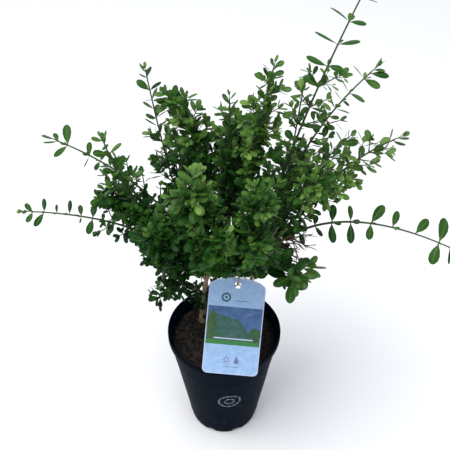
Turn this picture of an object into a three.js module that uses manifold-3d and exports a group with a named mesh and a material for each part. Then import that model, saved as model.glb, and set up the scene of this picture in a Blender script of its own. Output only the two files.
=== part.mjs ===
// A young unclipped boxwood with several stems, in its black nursery pot, with the label that is tied to a bough.
// Millimetres, +Z up. The origin is the centre of the pot's underside. The front, where the label hangs, is -Y.

import * as THREE from "three";
import { mergeVertices } from "three/addons/utils/BufferGeometryUtils.js";
import Module from "manifold-3d";

const wasm = await Module();
wasm.setup();

// The gap that touching pieces keep
const CLEARANCE = 0.3;

// Pot, soil, label and the loop that holds the label
const POT = {
  height: 166,
  rimRadius: 70,
  footRadius: 44,
  wall: 1.6,
  floor: 2.4,
  lip: 2.6,
  lipHeight: 10,
  sides: 36,
  notches: 8,
  notchWidth: 11,
  notchHeight: 6,
};
const SOIL = { top: 150, sides: 32, slump: 4 };
const LABEL = {
  width: 66,
  length: 117,
  thickness: 0.7,
  corner: 6,
  arch: 12,
  holeRadius: 4,
  holeDrop: 9,
  foot: new THREE.Vector3(6.5, -70.4, 166),
  head: new THREE.Vector3(17, -4.5, 261.5),
};
const TIE = { radius: 0.9, slack: 3.3, bough: "right_foot", share: 0.3 };

// Stems: where each leaves the soil, where it forks, and its radius at both ends
const STEMS = {
  left: { foot: [-27, 26], fork: [-19, 12, 250], radii: [3.3, 2.4] },
  middle: { foot: [4, 14], fork: [12, 8, 264], radii: [3.2, 2.3] },
  right: { foot: [27, 24], fork: [36, 17, 252], radii: [2.9, 2.1] },
  back: { foot: [-2, 40], fork: [4, 46, 262], radii: [3.1, 2.2] },
};
const STEM = { sides: 8, steps: 6, flare: 0.8 };

// How each kind of shoot grows: its bare share, the step between its pairs, its longest side twig and the share
// of that length left at its tip, how far its mass may spread from its axis, and the turn from pair to pair. The
// knee is where along it the shoot bows most, faceUp how strongly its leaves face up, and angle how far they stand
// off. On a whip the turn is 0: its pairs lie flat, one leaf to each side.
const HABITS = {
  whip: { bare: 0.3, step: 24, twig: 6, tipShare: 0, spread: 40, turn: 0, knee: 0.25, faceUp: 2.5, angle: 72 },
  plume: { bare: 0.3, step: 17, twig: 32, tipShare: 0.15, spread: 38, turn: 90, knee: 0.5, faceUp: 0.9, angle: 52 },
  bushy: { bare: 0.24, step: 20, twig: 42, tipShare: 0.36, spread: 60, turn: 90, knee: 0.5, faceUp: 0.8, angle: 54 },
  tuft: { bare: 0.38, step: 19, twig: 32, tipShare: 0.6, spread: 42, turn: 90, knee: 0.5, faceUp: 0.8, angle: 58 },
};

// Shoots. Azimuth is in degrees anticlockwise from +X, seen from above, so -90 is the front. Reach is the tip's
// distance from the pot's axis, and height is the tip's. Arch is how far the middle bows up, and fork is the
// share of its stem at which the shoot leaves it.
const SHOOTS = {
  left_low: { stem: "left", fork: 0.86, azimuth: -179, reach: 207, height: 365, arch: 76, habit: "whip" },
  left_high: { stem: "left", fork: 0.98, azimuth: 172, reach: 175, height: 439, arch: 90, habit: "whip" },
  left_mid: { stem: "left", fork: 0.95, azimuth: -174, reach: 118, height: 463, arch: -92, habit: "plume" },
  left_side: { stem: "left", fork: 0.92, azimuth: 174, reach: 126, height: 378, arch: 24, habit: "bushy" },
  left_foot: { stem: "left", fork: 0.5, azimuth: 179, reach: 66, height: 246, arch: 26, habit: "tuft" },
  front_left_low: { stem: "left", fork: 0.9, azimuth: -149, reach: 85, height: 371, arch: 16, habit: "bushy" },
  front_left: { stem: "left", fork: 0.98, azimuth: -113, reach: 72, height: 445, arch: 4, habit: "bushy" },
  front_centre: { stem: "middle", fork: 0.88, azimuth: -97, reach: 82, height: 397, arch: 10, habit: "bushy" },
  front_right: { stem: "middle", fork: 0.92, azimuth: -70, reach: 78, height: 383, arch: 12, habit: "bushy" },
  front_right_high: { stem: "middle", fork: 0.97, azimuth: -59, reach: 72, height: 442, arch: 0, habit: "bushy" },
  centre: { stem: "middle", fork: 1, azimuth: 73, reach: 20, height: 489, arch: 8, habit: "plume" },
  right_crown: { stem: "middle", fork: 0.99, azimuth: -7, reach: 46, height: 543, arch: 46, habit: "plume" },
  right_foot: { stem: "middle", fork: 0.95, azimuth: -27, reach: 90, height: 306, arch: 18, habit: "tuft" },
  tall: { stem: "right", fork: 1, azimuth: 12, reach: 131, height: 609, arch: 84, habit: "whip" },
  right_column: { stem: "right", fork: 0.98, azimuth: 33, reach: 97, height: 484, arch: -130, habit: "plume" },
  right_high: { stem: "right", fork: 0.95, azimuth: 24, reach: 166, height: 494, arch: 118, habit: "whip" },
  right_upper: { stem: "right", fork: 0.99, azimuth: -4, reach: 120, height: 464, arch: 42, habit: "plume" },
  right_long: { stem: "right", fork: 0.92, azimuth: 5, reach: 175, height: 447, arch: 64, habit: "plume" },
  right_fan: { stem: "right", fork: 0.88, azimuth: -19, reach: 107, height: 433, arch: 84, habit: "bushy" },
  right_low: { stem: "right", fork: 0.96, azimuth: -7, reach: 246, height: 336, arch: 128, habit: "whip" },
  left_back: { stem: "back", fork: 0.94, azimuth: 137, reach: 110, height: 485, arch: -200, habit: "plume" },
  left_crown: { stem: "back", fork: 1, azimuth: 147, reach: 66, height: 485, arch: 70, habit: "plume" },
  back_left_low: { stem: "back", fork: 0.89, azimuth: 125, reach: 112, height: 365, arch: 20, habit: "bushy" },
  back_crown: { stem: "back", fork: 1, azimuth: 74, reach: 60, height: 438, arch: 4, habit: "bushy" },
  back: { stem: "back", fork: 0.94, azimuth: 84, reach: 120, height: 383, arch: 8, habit: "bushy" },
  back_right_low: { stem: "back", fork: 0.87, azimuth: 45, reach: 130, height: 365, arch: 22, habit: "bushy" },
};
// How far a whip has twisted about its axis, in degrees, to hold its flat pairs to the light
const TWIST = { right_low: 42, left_low: -42, left_high: -32, right_high: 65, tall: 80 };
const BOUGH = { radii: [1.9, 1.35], sides: 5, steps: 2 };
const AXIS = { radii: [1.8, 1.1], sides: 3 };
// A side twig's radii are shares of its axis' radius, so that its foot is hidden inside the axis
const TWIG = { shares: [0.5, 0.36], angle: 50, lift: 0.15, shortest: 15, tries: [1, 0.8, 0.6], leaves: 2 };

// Leaf: its outline from the foot of the stalk, as shares of its length, and how it stands on its twig
const LEAF = {
  length: 28,
  small: 0.7,
  thickness: 1,
  outline: [
    [0, 0],
    [0.52, 0.28],
    [0.93, 0.16],
    [0.93, -0.16],
    [0.52, -0.28],
  ],
  crown: 0.55,
  endAngle: 34,
  endDepth: 1.2,
  endShare: 0.85,
};

// The step between a twig's pairs, and the strip kept free between one mass and the next
const PAIRS_APART = 22;
const SPACE_GAP = 1.6;

// The foliage arches over the label: how far each side of it and above its head, and how steeply it rises forward
const ARCH = { side: 8, above: 10, slope: 1.2 };

const COLOURS = {
  pot: { color: 0x1d2228, roughness: 0.55 },
  soil: { color: 0x2c211c, roughness: 0.95 },
  label: { color: 0xdfe7f4, roughness: 0.4 },
  tie: { color: 0xb9a27a, roughness: 0.85 },
  stem: { color: 0x9a8566, roughness: 0.85 },
  bough: { color: 0x7c7450, roughness: 0.8 },
  foliage: { color: 0x2f6a26, roughness: 0.45 },
};

const UP = new THREE.Vector3(0, 0, 1);
const { degToRad, lerp, clamp } = THREE.MathUtils;

// Repeatable chance, the same for the same shoot, node and side
function dice(...keys) {
  let state = 77003;
  const turn = (add) => {
    state = (state * 48271 + add) % 2147483647;
  };
  for (const key of keys) turn(key * 9973 + 11);
  for (let warm = 0; warm < 3; warm += 1) turn(0);
  return (low, high) => {
    turn(0);
    return low + ((high - low) * state) / 2147483647;
  };
}

// From a geometry to a solid, and back
function solidOf(geometry) {
  const bare = geometry.clone();
  bare.deleteAttribute("normal");
  bare.deleteAttribute("uv");
  const merged = mergeVertices(bare, 1e-4);
  return new wasm.Manifold(
    new wasm.Mesh({
      numProp: 3,
      vertProperties: new Float32Array(merged.attributes.position.array),
      triVerts: new Uint32Array(merged.index.array),
    }),
  );
}

function geometryOf(solid) {
  const { vertProperties, triVerts } = solid.getMesh();
  const geometry = new THREE.BufferGeometry();
  geometry.setAttribute("position", new THREE.BufferAttribute(vertProperties, 3));
  geometry.setIndex(new THREE.BufferAttribute(triVerts, 1));
  return geometry;
}

function largestOf(solid) {
  return solid.decompose().sort((a, b) => b.volume() - a.volume())[0];
}

// A stretch of a curve, longer than it at both ends by a given length
class Stretch extends THREE.Curve {
  constructor(whole, from, to, extra = 0) {
    super();
    Object.assign(this, { whole, from, to, extra });
  }

  getPoint(t, target = new THREE.Vector3()) {
    this.whole.getPoint(lerp(this.from, this.to, t), target);
    if (this.extra && (t === 0 || t === 1)) {
      const way = this.whole.getTangent(t ? this.to : this.from);
      target.addScaledVector(way, t ? this.extra : -this.extra);
    }
    return target;
  }
}

// The direction square to a limb that lies nearest to front and back, so a limb's rings never twist
function acrossOf(tangent) {
  const across = new THREE.Vector3(0, 1, 0).addScaledVector(tangent, -tangent.y);
  if (across.length() < 0.2) across.set(1, 0, 0).addScaledVector(tangent, -tangent.x);
  return across.normalize();
}

// A limb: a cylinder bent along a curve, which tapers from its foot to its tip. The root flare is on stems only.
function limb(curve, [footRadius, tipRadius], sides, steps, flare = 0) {
  const geometry = new THREE.CylinderGeometry(tipRadius, footRadius, 1, sides, steps);
  const place = geometry.attributes.position;
  const corner = new THREE.Vector3();
  for (let i = 0; i < place.count; i += 1) {
    corner.fromBufferAttribute(place, i);
    const along = clamp(corner.y + 0.5, 0, 1);
    const tangent = curve.getTangent(along);
    const across = acrossOf(tangent);
    const beside = new THREE.Vector3().crossVectors(across, tangent);
    const swell = 1 + flare * Math.exp(-9 * along);
    const out = curve.getPoint(along);
    out.addScaledVector(across, corner.x * swell);
    out.addScaledVector(beside, corner.z * swell);
    place.setXYZ(i, out.x, out.y, out.z);
  }
  return geometry;
}

// The space that a limb takes up with the gap round it
function limbSpace({ curve, radii, sides, steps }) {
  const room = CLEARANCE / Math.cos(Math.PI / sides);
  const wider = radii.map((radius) => radius + room);
  return solidOf(limb(new Stretch(curve, 0, 1, CLEARANCE), wider, sides, steps));
}

// Pot: a turned shell with a lip round its mouth and drainage notches round its foot
function potSolid() {
  const { height, rimRadius, footRadius, wall, floor, lip, lipHeight } = POT;
  const shoulder = height - lipHeight;
  const chamfer = 2;
  const profile = [
    [0, 0],
    [footRadius - chamfer, 0],
    [footRadius, chamfer],
    [rimRadius - lip, shoulder],
    [rimRadius, shoulder + 1],
    [rimRadius, height],
    [rimRadius - wall, height],
    [insideRadius(shoulder), shoulder],
    [insideRadius(floor), floor],
    [0, floor],
  ];
  const points = profile.map(([radius, z]) => new THREE.Vector2(radius, z));
  let solid = solidOf(new THREE.LatheGeometry(points, POT.sides).rotateX(Math.PI / 2));
  for (let i = 0; i < POT.notches; i += 1) {
    const cutter = new THREE.BoxGeometry(POT.notchHeight * 2, POT.notchWidth, POT.notchHeight * 2);
    cutter.translate(footRadius + 1, 0, 0).rotateZ(((i + 0.5) / POT.notches) * 2 * Math.PI);
    solid = solid.subtract(solidOf(cutter));
  }
  return solid;
}

// The radius of the pot's inside at a height
function insideRadius(z) {
  const { height, rimRadius, footRadius, lip, lipHeight, wall } = POT;
  return lerp(footRadius, rimRadius - lip, z / (height - lipHeight)) - wall;
}

// Root ball: soil that fills the pot and sinks a little towards its wall
function soilSolid() {
  const foot = POT.floor + CLEARANCE;
  const edge = SOIL.top - SOIL.slump;
  const gap = CLEARANCE + 0.1;
  const profile = [
    [0, foot],
    [insideRadius(foot) - gap, foot],
    [insideRadius(edge) - gap, edge],
    [insideRadius(edge) * 0.88, SOIL.top],
    [0, SOIL.top],
  ];
  const points = profile.map(([radius, z]) => new THREE.Vector2(radius, z));
  return solidOf(new THREE.LatheGeometry(points, SOIL.sides).rotateX(Math.PI / 2));
}

// Label: a flat tag with round lower corners and an arched head with a hole, which leans on the pot's rim
const labelPlace = (() => {
  const along = LABEL.head.clone().sub(LABEL.foot).normalize();
  const across = new THREE.Vector3(1, 0, 0).addScaledVector(along, -along.x).normalize();
  const facing = new THREE.Vector3().crossVectors(across, along);
  return new THREE.Matrix4().makeBasis(across, along, facing).setPosition(LABEL.foot);
})();

function labelSolid() {
  const { width, length, corner, arch, thickness, holeRadius, holeDrop } = LABEL;
  const half = width / 2;
  const shape = new THREE.Shape();
  shape.moveTo(-half + corner, 0);
  shape.lineTo(half - corner, 0);
  shape.absarc(half - corner, corner, corner, -Math.PI / 2, 0);
  shape.lineTo(half, length - arch);
  shape.absellipse(0, length - arch, half, arch, 0, Math.PI);
  shape.lineTo(-half, corner);
  shape.absarc(-half + corner, corner, corner, Math.PI, 1.5 * Math.PI);
  shape.holes.push(new THREE.Path().absarc(0, length - holeDrop, holeRadius, 0, 2 * Math.PI, true));
  const plate = new THREE.ExtrudeGeometry(shape, { depth: thickness, bevelEnabled: false, curveSegments: 5 });
  return solidOf(plate.applyMatrix4(labelPlace));
}

// Tie: a loop of twine through the label's hole and round a bough
function tieSolid(bough) {
  const { length, thickness, holeDrop } = LABEL;
  const hole = new THREE.Vector3(0, length - holeDrop, thickness / 2).applyMatrix4(labelPlace);
  const hook = bough.curve.getPoint(TIE.share);
  const reach = hook.clone().sub(hole);
  const radius = (reach.length() + TIE.slack) / 2;
  reach.normalize();
  const axle = new THREE.Vector3(1, 0, 0).addScaledVector(reach, -reach.x).normalize();
  const ring = new THREE.TorusGeometry(radius, TIE.radius, 5, 16);
  const beside = new THREE.Vector3().crossVectors(axle, reach);
  const place = new THREE.Matrix4().makeBasis(reach, beside, axle);
  place.setPosition(hole.addScaledVector(reach, radius));
  return solidOf(ring.applyMatrix4(place));
}

// Stems and boughs, as curves with their radii. A bough runs from its stem to where its foliage starts.
const stems = Object.entries(STEMS).map(([name, { foot, fork, radii }]) => {
  const [x, y] = foot;
  const start = new THREE.Vector3(x, y, SOIL.top + CLEARANCE);
  const end = new THREE.Vector3(...fork);
  const knee = new THREE.Vector3(x, y, (start.z + end.z) / 2);
  return { name, curve: new THREE.QuadraticBezierCurve3(start, knee, end), radii, ...STEM };
});

const shoots = Object.entries(SHOOTS).map(([name, shoot], number) => {
  const habit = HABITS[shoot.habit];
  const stem = stems.find(({ name }) => name === shoot.stem);
  const start = stem.curve.getPoint(shoot.fork);
  const turn = degToRad(shoot.azimuth);
  const tip = new THREE.Vector3(shoot.reach * Math.cos(turn), shoot.reach * Math.sin(turn), shoot.height);
  const knee = start.clone().lerp(tip, habit.knee).addScaledVector(UP, shoot.arch);
  const path = new THREE.QuadraticBezierCurve3(start, knee, tip);
  const length = path.getLength();
  const gap = CLEARANCE / length;
  const bough = { curve: new Stretch(path, 0, habit.bare), ...BOUGH };
  const axis = { curve: new Stretch(path, habit.bare + gap, 1), ...AXIS };
  axis.steps = Math.round((length * (1 - habit.bare)) / habit.step);
  return { ...shoot, name, number, habit, stem, bough, axis };
});

const limbs = [...stems, ...shoots.map(({ bough }) => bough)];
const limbParts = limbs.flatMap(({ curve, radii, steps }) =>
  Array.from({ length: steps * 2 }, (_, i) => {
    const [from, to] = [i / (steps * 2), (i + 1) / (steps * 2)];
    const line = new THREE.Line3(curve.getPoint(from), curve.getPoint(to));
    return { line, radius: lerp(...radii, from) };
  }),
);
const axisParts = shoots.map(({ axis: { curve } }) =>
  Array.from({ length: 12 }, (_, i) => new THREE.Line3(curve.getPoint(i / 12), curve.getPoint((i + 1) / 12))),
);

const nearest = new THREE.Vector3();
const distanceTo = (line, point) => line.closestPointToPoint(point, true, nearest).distanceTo(point);
const distanceToAxis = (number, point) => Math.min(...axisParts[number].map((line) => distanceTo(line, point)));

// Whether a point lies in the opening over the label
function overLabel({ x, y, z }) {
  const { head, foot, width } = LABEL;
  const aside = Math.abs(x - (head.x + foot.x) / 2) - width / 2;
  return aside < ARCH.side && z < head.z + ARCH.above + ARCH.slope * Math.max(head.y - y, 0) && y < 0;
}

// A shoot's own space is what lies nearer to its axis than to any other, within its spread and clear of the limbs
function fits(shoot, points, room) {
  return points.every((point) => {
    const own = distanceToAxis(shoot.number, point);
    if (own > shoot.habit.spread || overLabel(point)) return false;
    const inside = shoots.every(
      ({ number }) => number === shoot.number || distanceToAxis(number, point) - own > SPACE_GAP + room,
    );
    const free = ({ line, radius }) => distanceTo(line, point) > radius + room + CLEARANCE * 2;
    return inside && limbParts.every(free);
  });
}

// The direction square to a heading at a turn about it, counted from its upper side
function sideways(heading, turn) {
  const upper = UP.clone().addScaledVector(heading, -heading.z);
  if (upper.length() < 0.05) upper.set(0, -1, 0).addScaledVector(heading, heading.y);
  upper.normalize();
  const beside = new THREE.Vector3().crossVectors(heading, upper);
  return upper.multiplyScalar(Math.cos(degToRad(turn))).addScaledVector(beside, Math.sin(degToRad(turn)));
}

const lean = (heading, out, angle) =>
  heading.clone().multiplyScalar(Math.cos(degToRad(angle))).addScaledVector(out, Math.sin(degToRad(angle)));

// One leaf: where it is rooted, which way it runs and which way it faces
function leafAt(faceUp, point, heading, turn, angle, length) {
  const out = sideways(heading, turn);
  const along = lean(heading, out, angle);
  const face = lean(out, heading, angle).sub(out.multiplyScalar(2 * Math.cos(degToRad(angle))));
  face.addScaledVector(UP, faceUp);
  face.addScaledVector(along, -face.dot(along)).normalize();
  return { root: point, along, face, length };
}

function leafPoints({ root, along, face, length }) {
  const beside = new THREE.Vector3().crossVectors(along, face);
  return LEAF.outline.map(([far, wide]) =>
    root.clone().addScaledVector(along, far * length).addScaledVector(beside, wide * length),
  );
}

// A list of one leaf, in the larger of two sizes that keeps to the shoot's space, or an empty list
function leafThatFits(shoot, ...facts) {
  const size = facts.pop();
  const sizes = [size, size * LEAF.small].map((length) => leafAt(shoot.habit.faceUp, ...facts, length));
  return sizes.filter((leaf) => fits(shoot, leafPoints(leaf), 0)).slice(0, 1);
}

// A pair of opposite leaves, less those that would leave the shoot's space
function leafPair(shoot, point, heading, turn, angle, size) {
  return [0, 180].flatMap((half) => leafThatFits(shoot, point, heading, turn + half, angle, size));
}

// The pair that ends a twig or a shoot, rooted a little way back from its end
function endPair(shoot, end, heading, turn, size) {
  const point = end.clone().addScaledVector(heading, -LEAF.endDepth);
  return leafPair(shoot, point, heading, turn, LEAF.endAngle, size * LEAF.endShare);
}

// A side twig with its leaves, in the longest of a few lengths that leaves it room, or null
function sideTwig(shoot, point, heading, turn, reach, radius, size) {
  const way = lean(heading, sideways(heading, turn), TWIG.angle).addScaledVector(UP, TWIG.lift).normalize();
  for (const length of TWIG.tries.map((share) => share * reach)) {
    const at = (share) => point.clone().addScaledVector(way, share * length);
    if (length < TWIG.shortest || !fits(shoot, [0.4, 0.7, 1].map(at), radius)) continue;
    const pairs = Math.floor(length / PAIRS_APART);
    const leaves = endPair(shoot, at(1), way, turn + 90 * pairs, size);
    for (let i = 1; i < pairs; i += 1) {
      leaves.push(...leafPair(shoot, at(i / pairs), way, turn + 90 * i, shoot.habit.angle, size));
    }
    if (leaves.length < TWIG.leaves) continue;
    const radii = TWIG.shares.map((share) => share * radius);
    return { twig: { curve: new THREE.LineCurve3(point, at(1)), radii }, leaves };
  }
  return null;
}

// What grows on a shoot: pairs of twigs or leaves, each pair a quarter turn from the last, and a pair at the tip
function grow(shoot) {
  const { habit, number, axis } = shoot;
  const { curve, steps, radii } = axis;
  const twist = TWIST[shoot.name] ?? 0;
  const twigs = [];
  const leaves = [];
  for (let node = 0; node < steps; node += 1) {
    const progress = (node + 0.5) / steps;
    const [ring, next] = [node, node + 1].map((end) => curve.getPoint(end / steps));
    const heading = next.clone().sub(ring).normalize();
    const point = ring.lerp(next, 0.5);
    for (const side of [0, 1]) {
      const chance = dice(number, node, side);
      const turn = 90 + twist + node * habit.turn + side * 180 + chance(-18, 18);
      const reach = habit.twig * lerp(1, habit.tipShare, progress) * chance(0.75, 1.1);
      const size = LEAF.length * chance(0.85, 1.08) * lerp(1, LEAF.endShare, progress);
      const branch = sideTwig(shoot, point, heading, turn, reach, lerp(...radii, progress), size);
      if (branch) {
        twigs.push(branch.twig);
        leaves.push(...branch.leaves);
      } else {
        leaves.push(...leafThatFits(shoot, point, heading, turn, habit.angle, size));
      }
    }
  }
  const turn = 90 + steps * habit.turn;
  const tip = endPair(shoot, curve.getPoint(1), curve.getTangent(1), turn, LEAF.length * LEAF.endShare);
  return { twigs, leaves: [...leaves, ...tip] };
}

// Leaf solid: a low crown on the leaf's outline, over a flat underside
function leafSolid(leaf) {
  const crown = leaf.root.clone().addScaledVector(leaf.along, LEAF.crown * leaf.length);
  const points = [...leafPoints(leaf), crown.addScaledVector(leaf.face, LEAF.thickness)];
  const corners = LEAF.outline.length;
  const faces = LEAF.outline.flatMap((_, i) => [i, (i + 1) % corners, corners]);
  for (let i = 2; i < corners; i += 1) faces.push(1, (i + 1) % corners, i);
  return solidOf(new THREE.BufferGeometry().setFromPoints(points).setIndex(faces));
}

function massSolid(shoot) {
  const { twigs, leaves } = grow(shoot);
  const { curve, radii, sides, steps } = shoot.axis;
  const pieces = [
    solidOf(limb(curve, radii, sides, steps)),
    ...twigs.map((twig) => solidOf(limb(twig.curve, twig.radii, sides, 1))),
    ...leaves.map(leafSolid),
  ];
  return largestOf(wasm.Manifold.union(pieces));
}

// Each bough is cut clear of its stem and of the boughs before it on the same stem
function boughSolid(shoot) {
  const { curve, radii, sides, steps } = shoot.bough;
  const before = shoots.filter(({ stem, number }) => stem === shoot.stem && number < shoot.number);
  const spaces = [shoot.stem, ...before.map(({ bough }) => bough)].map(limbSpace);
  const whole = solidOf(limb(curve, radii, sides, steps));
  return largestOf(spaces.reduce((rest, space) => rest.subtract(space), whole));
}

// The plant, put together
const group = new THREE.Group();

function add(name, finish, solid) {
  const material = new THREE.MeshStandardMaterial({ ...COLOURS[finish], metalness: 0, flatShading: true });
  const mesh = new THREE.Mesh(geometryOf(solid), material);
  mesh.name = name;
  group.add(mesh);
}

add("pot", "pot", potSolid());
add("soil", "soil", soilSolid());
add("label", "label", labelSolid());
add("label_tie", "tie", tieSolid(shoots.find(({ name }) => name === TIE.bough).bough));
for (const { name, curve, radii, sides, steps, flare } of stems) {
  add(`stem_${name}`, "stem", solidOf(limb(curve, radii, sides, steps, flare)));
}
for (const shoot of shoots) {
  add(`bough_${shoot.name}`, "bough", boughSolid(shoot));
  add(`foliage_${shoot.name}`, "foliage", massSolid(shoot));
}

export default group;
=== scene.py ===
# %% [markdown]
# # A young boxwood in its nursery pot
#
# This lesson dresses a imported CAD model: a small, unclipped boxwood with several stems, in a thin black
# nursery pot, with a plant label tied to one of its shoots. The CAD model gives the sizes, the places and
# a plain stand-in for each piece. Here each piece gets the shape and the finish that the eye expects.
#
# The model has one body, named root, because nothing on the plant turns or slides. Sizes below are
# written in millimetres, as a maker would measure them, and turned into Blender's metres where a mesh is
# made.

import math

import bpy
import numpy as np
from mathutils import Matrix, Vector, noise


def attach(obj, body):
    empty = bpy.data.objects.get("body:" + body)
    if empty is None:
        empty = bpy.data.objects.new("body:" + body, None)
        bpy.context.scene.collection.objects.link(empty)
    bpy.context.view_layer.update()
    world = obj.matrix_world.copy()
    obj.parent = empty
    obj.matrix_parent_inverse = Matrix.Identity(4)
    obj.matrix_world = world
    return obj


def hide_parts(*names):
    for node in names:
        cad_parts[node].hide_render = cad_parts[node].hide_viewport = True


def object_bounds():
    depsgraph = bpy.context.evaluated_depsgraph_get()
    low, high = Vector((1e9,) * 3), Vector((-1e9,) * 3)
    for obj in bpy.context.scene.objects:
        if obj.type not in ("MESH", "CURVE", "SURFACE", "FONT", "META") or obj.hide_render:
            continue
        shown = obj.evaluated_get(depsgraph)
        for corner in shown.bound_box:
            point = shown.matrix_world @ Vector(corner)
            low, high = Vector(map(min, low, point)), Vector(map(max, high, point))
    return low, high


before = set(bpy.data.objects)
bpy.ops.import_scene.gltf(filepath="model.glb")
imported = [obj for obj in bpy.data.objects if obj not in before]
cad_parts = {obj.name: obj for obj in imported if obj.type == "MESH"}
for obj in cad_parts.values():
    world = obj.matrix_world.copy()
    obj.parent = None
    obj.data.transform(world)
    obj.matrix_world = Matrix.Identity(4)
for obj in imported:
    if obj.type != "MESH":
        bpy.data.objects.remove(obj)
cad_low, cad_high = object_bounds()
MM = 0.001
cad_size = [round((high - low) / MM) for low, high in zip(cad_low, cad_high)]
print("CAD nodes:", len(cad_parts), "size in mm:", cad_size)

# %% [markdown]
# ## Camera
#
# The view looks down on the plant from the front, as someone does who stands over a pot on the ground.
# The place and the lens were worked out from the pot: its rim is an ellipse whose flatness gives the
# angle, and the taper of its sides gives the distance. A camera that is close to its subject makes the
# top of the plant look large and the foot of the pot small, so a wrong distance shows at once.

# %% Camera
EYE = (1.3, -636.1, 937.6)
LOOKS_DOWN = 43.12
FOCAL_SHARE = 795 / 450
SENSOR_WIDTH = 36
NEAREST_SEEN = 50

scene = bpy.context.scene
camera = bpy.data.objects.new("camera", bpy.data.cameras.new("camera"))
scene.collection.objects.link(camera)
camera.location = Vector(EYE) * MM
camera.rotation_euler = (math.radians(90 - LOOKS_DOWN), 0, 0)
camera.data.sensor_width = SENSOR_WIDTH
camera.data.lens = SENSOR_WIDTH * FOCAL_SHARE
camera.data.clip_start = NEAREST_SEEN * MM
bpy.context.scene.camera = camera
print("lens in mm:", round(camera.data.lens, 1))

# %% [markdown]
# ## Colours and nodes
#
# Each finish in this lesson is a small network of nodes: a noise breaks up an even colour, a range
# spreads it, and a bump roughens the face. One function adds any node with its settings and its links, so
# that a material reads as a list of what feeds what. Colours are hex codes, as a picture shows them, and
# one function turns them into the linear light that Blender works with.

# %% Colours and nodes
def colour(code):
    """The linear colour of a hex code."""
    shares = [int(code[i : i + 2], 16) / 255 for i in (1, 3, 5)]
    return (*[s / 12.92 if s <= 0.04045 else ((s + 0.055) / 1.055) ** 2.4 for s in shares], 1)


def per_size(size):
    """The scale of a pattern whose specks are this many millimetres across."""
    return 1 / (size * MM)


def add_node(tree, kind, settings, sockets, output=0):
    """Adds a node and gives one of its outputs. A socket gets a value, or a link from another output."""
    node = tree.nodes.new(f"ShaderNode{kind}")
    for name, value in settings.items():
        setattr(node, name, value)
    for name, value in sockets.items():
        if isinstance(value, bpy.types.NodeSocket):
            tree.links.new(value, node.inputs[name])
        else:
            node.inputs[name].default_value = value
    return node.outputs[output] if len(node.outputs) else None


# A node that mixes colours: its setting, its sockets for the share and the two colours, and its output
COLOURS = {"data_type": "RGBA"}
SHARE, FIRST, SECOND, MIXED = 0, 6, 7, 2

print("middle grey as linear light:", round(colour("#808080")[0], 3))

# %% A material and its surface
def new_material(name):
    """An empty material, its node tree, and where a point lies on its own object, in metres."""
    material = bpy.data.materials.new(name)
    material.use_nodes = True
    tree = material.node_tree
    tree.nodes.clear()
    return material, tree, add_node(tree, "TexCoord", {}, {}, "Object")


def finish_material(tree, sockets):
    """Gives the material its surface, with these values and links."""
    add_node(tree, "OutputMaterial", {}, {"Surface": add_node(tree, "BsdfPrincipled", {}, sockets)})


def studio_paper():
    """Matt white paper: very rough and almost even, with the faintest cloudiness."""
    material, tree, place = new_material("matt white paper")
    clouds = add_node(tree, "TexNoise", {}, {"Vector": place, "Scale": per_size(500)})
    tints = {SHARE: clouds, FIRST: colour("#fafafb"), SECOND: colour("#fdfdfd")}
    finish_material(tree, {"Base Color": add_node(tree, "Mix", COLOURS, tints, MIXED), "Roughness": 0.9})
    return material


paper = studio_paper()
print("material:", paper.name)

# %% [markdown]
# ## Floor and light
#
# The plant stands on a plain pale floor. Outdoors under a bright, clouded sky the light comes from all
# over, and most from above, so leaves that face up are bright, and the inside of the shrub falls away
# into shade. A pale world gives the light from all over, and two large soft lamps give the sky above and
# a weaker fill from the front. The Standard view transform keeps the colours as they are set.

# %% Floor
FLOOR_RADIUS = 5000
FLOOR_SIDES = 64
FLOOR_HEIGHT = -0.2


def object_from(name, points, faces, materials, finishes=None, smooth=True):
    """A mesh object from points in millimetres, lists of corners, and the number of each face's material."""
    mesh = bpy.data.meshes.new(name)
    mesh.from_pydata((np.asarray(points) * MM).tolist(), [], [list(map(int, face)) for face in faces])
    for material in materials:
        mesh.materials.append(material)
    if finishes is not None:
        mesh.polygons.foreach_set("material_index", np.asarray(finishes, np.int32))
    mesh.polygons.foreach_set("use_smooth", np.full(len(mesh.polygons), smooth))
    mesh.update()
    thing = bpy.data.objects.new(name, mesh)
    scene.collection.objects.link(thing)
    return thing


def circle(radius, z, sides):
    """Evenly spaced points round the upright axis."""
    turns = [2 * math.pi * i / sides for i in range(sides)]
    return [(radius * math.cos(turn), radius * math.sin(turn), z) for turn in turns]


floor_rim = circle(FLOOR_RADIUS, FLOOR_HEIGHT, FLOOR_SIDES)
floor = object_from("floor", floor_rim, [range(FLOOR_SIDES)], [paper], smooth=False)
print("floor across in m:", 2 * FLOOR_RADIUS * MM)

# %% Sky and lamps
PLANT_MIDDLE = Vector((0, 0, 0.3))


def soft_lamp(name, place, size, watts, tint):
    """A square lamp that faces the middle of the plant, with its place and size in metres."""
    light = bpy.data.lights.new(name, "AREA")
    light.size, light.energy, light.color = size, watts, colour(tint)[:3]
    lamp = bpy.data.objects.new(name, light)
    lamp.location = place
    lamp.rotation_euler = (PLANT_MIDDLE - Vector(place)).to_track_quat("-Z", "Y").to_euler()
    scene.collection.objects.link(lamp)


scene.view_settings.view_transform = "Standard"
scene.world = bpy.data.worlds.new("clouded sky")
scene.world.use_nodes = True
sky = scene.world.node_tree
sky.nodes.clear()
glow = add_node(sky, "Background", {}, {"Color": colour("#f4f7ff"), "Strength": 0.66})
add_node(sky, "OutputWorld", {}, {"Surface": glow})
soft_lamp("sky_above", place=(-0.5, -0.3, 2.4), size=1.6, watts=44, tint="#ffffff")
soft_lamp("fill_front", place=(1.2, -2.0, 1.4), size=1.4, watts=8, tint="#f2f6ff")

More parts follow.
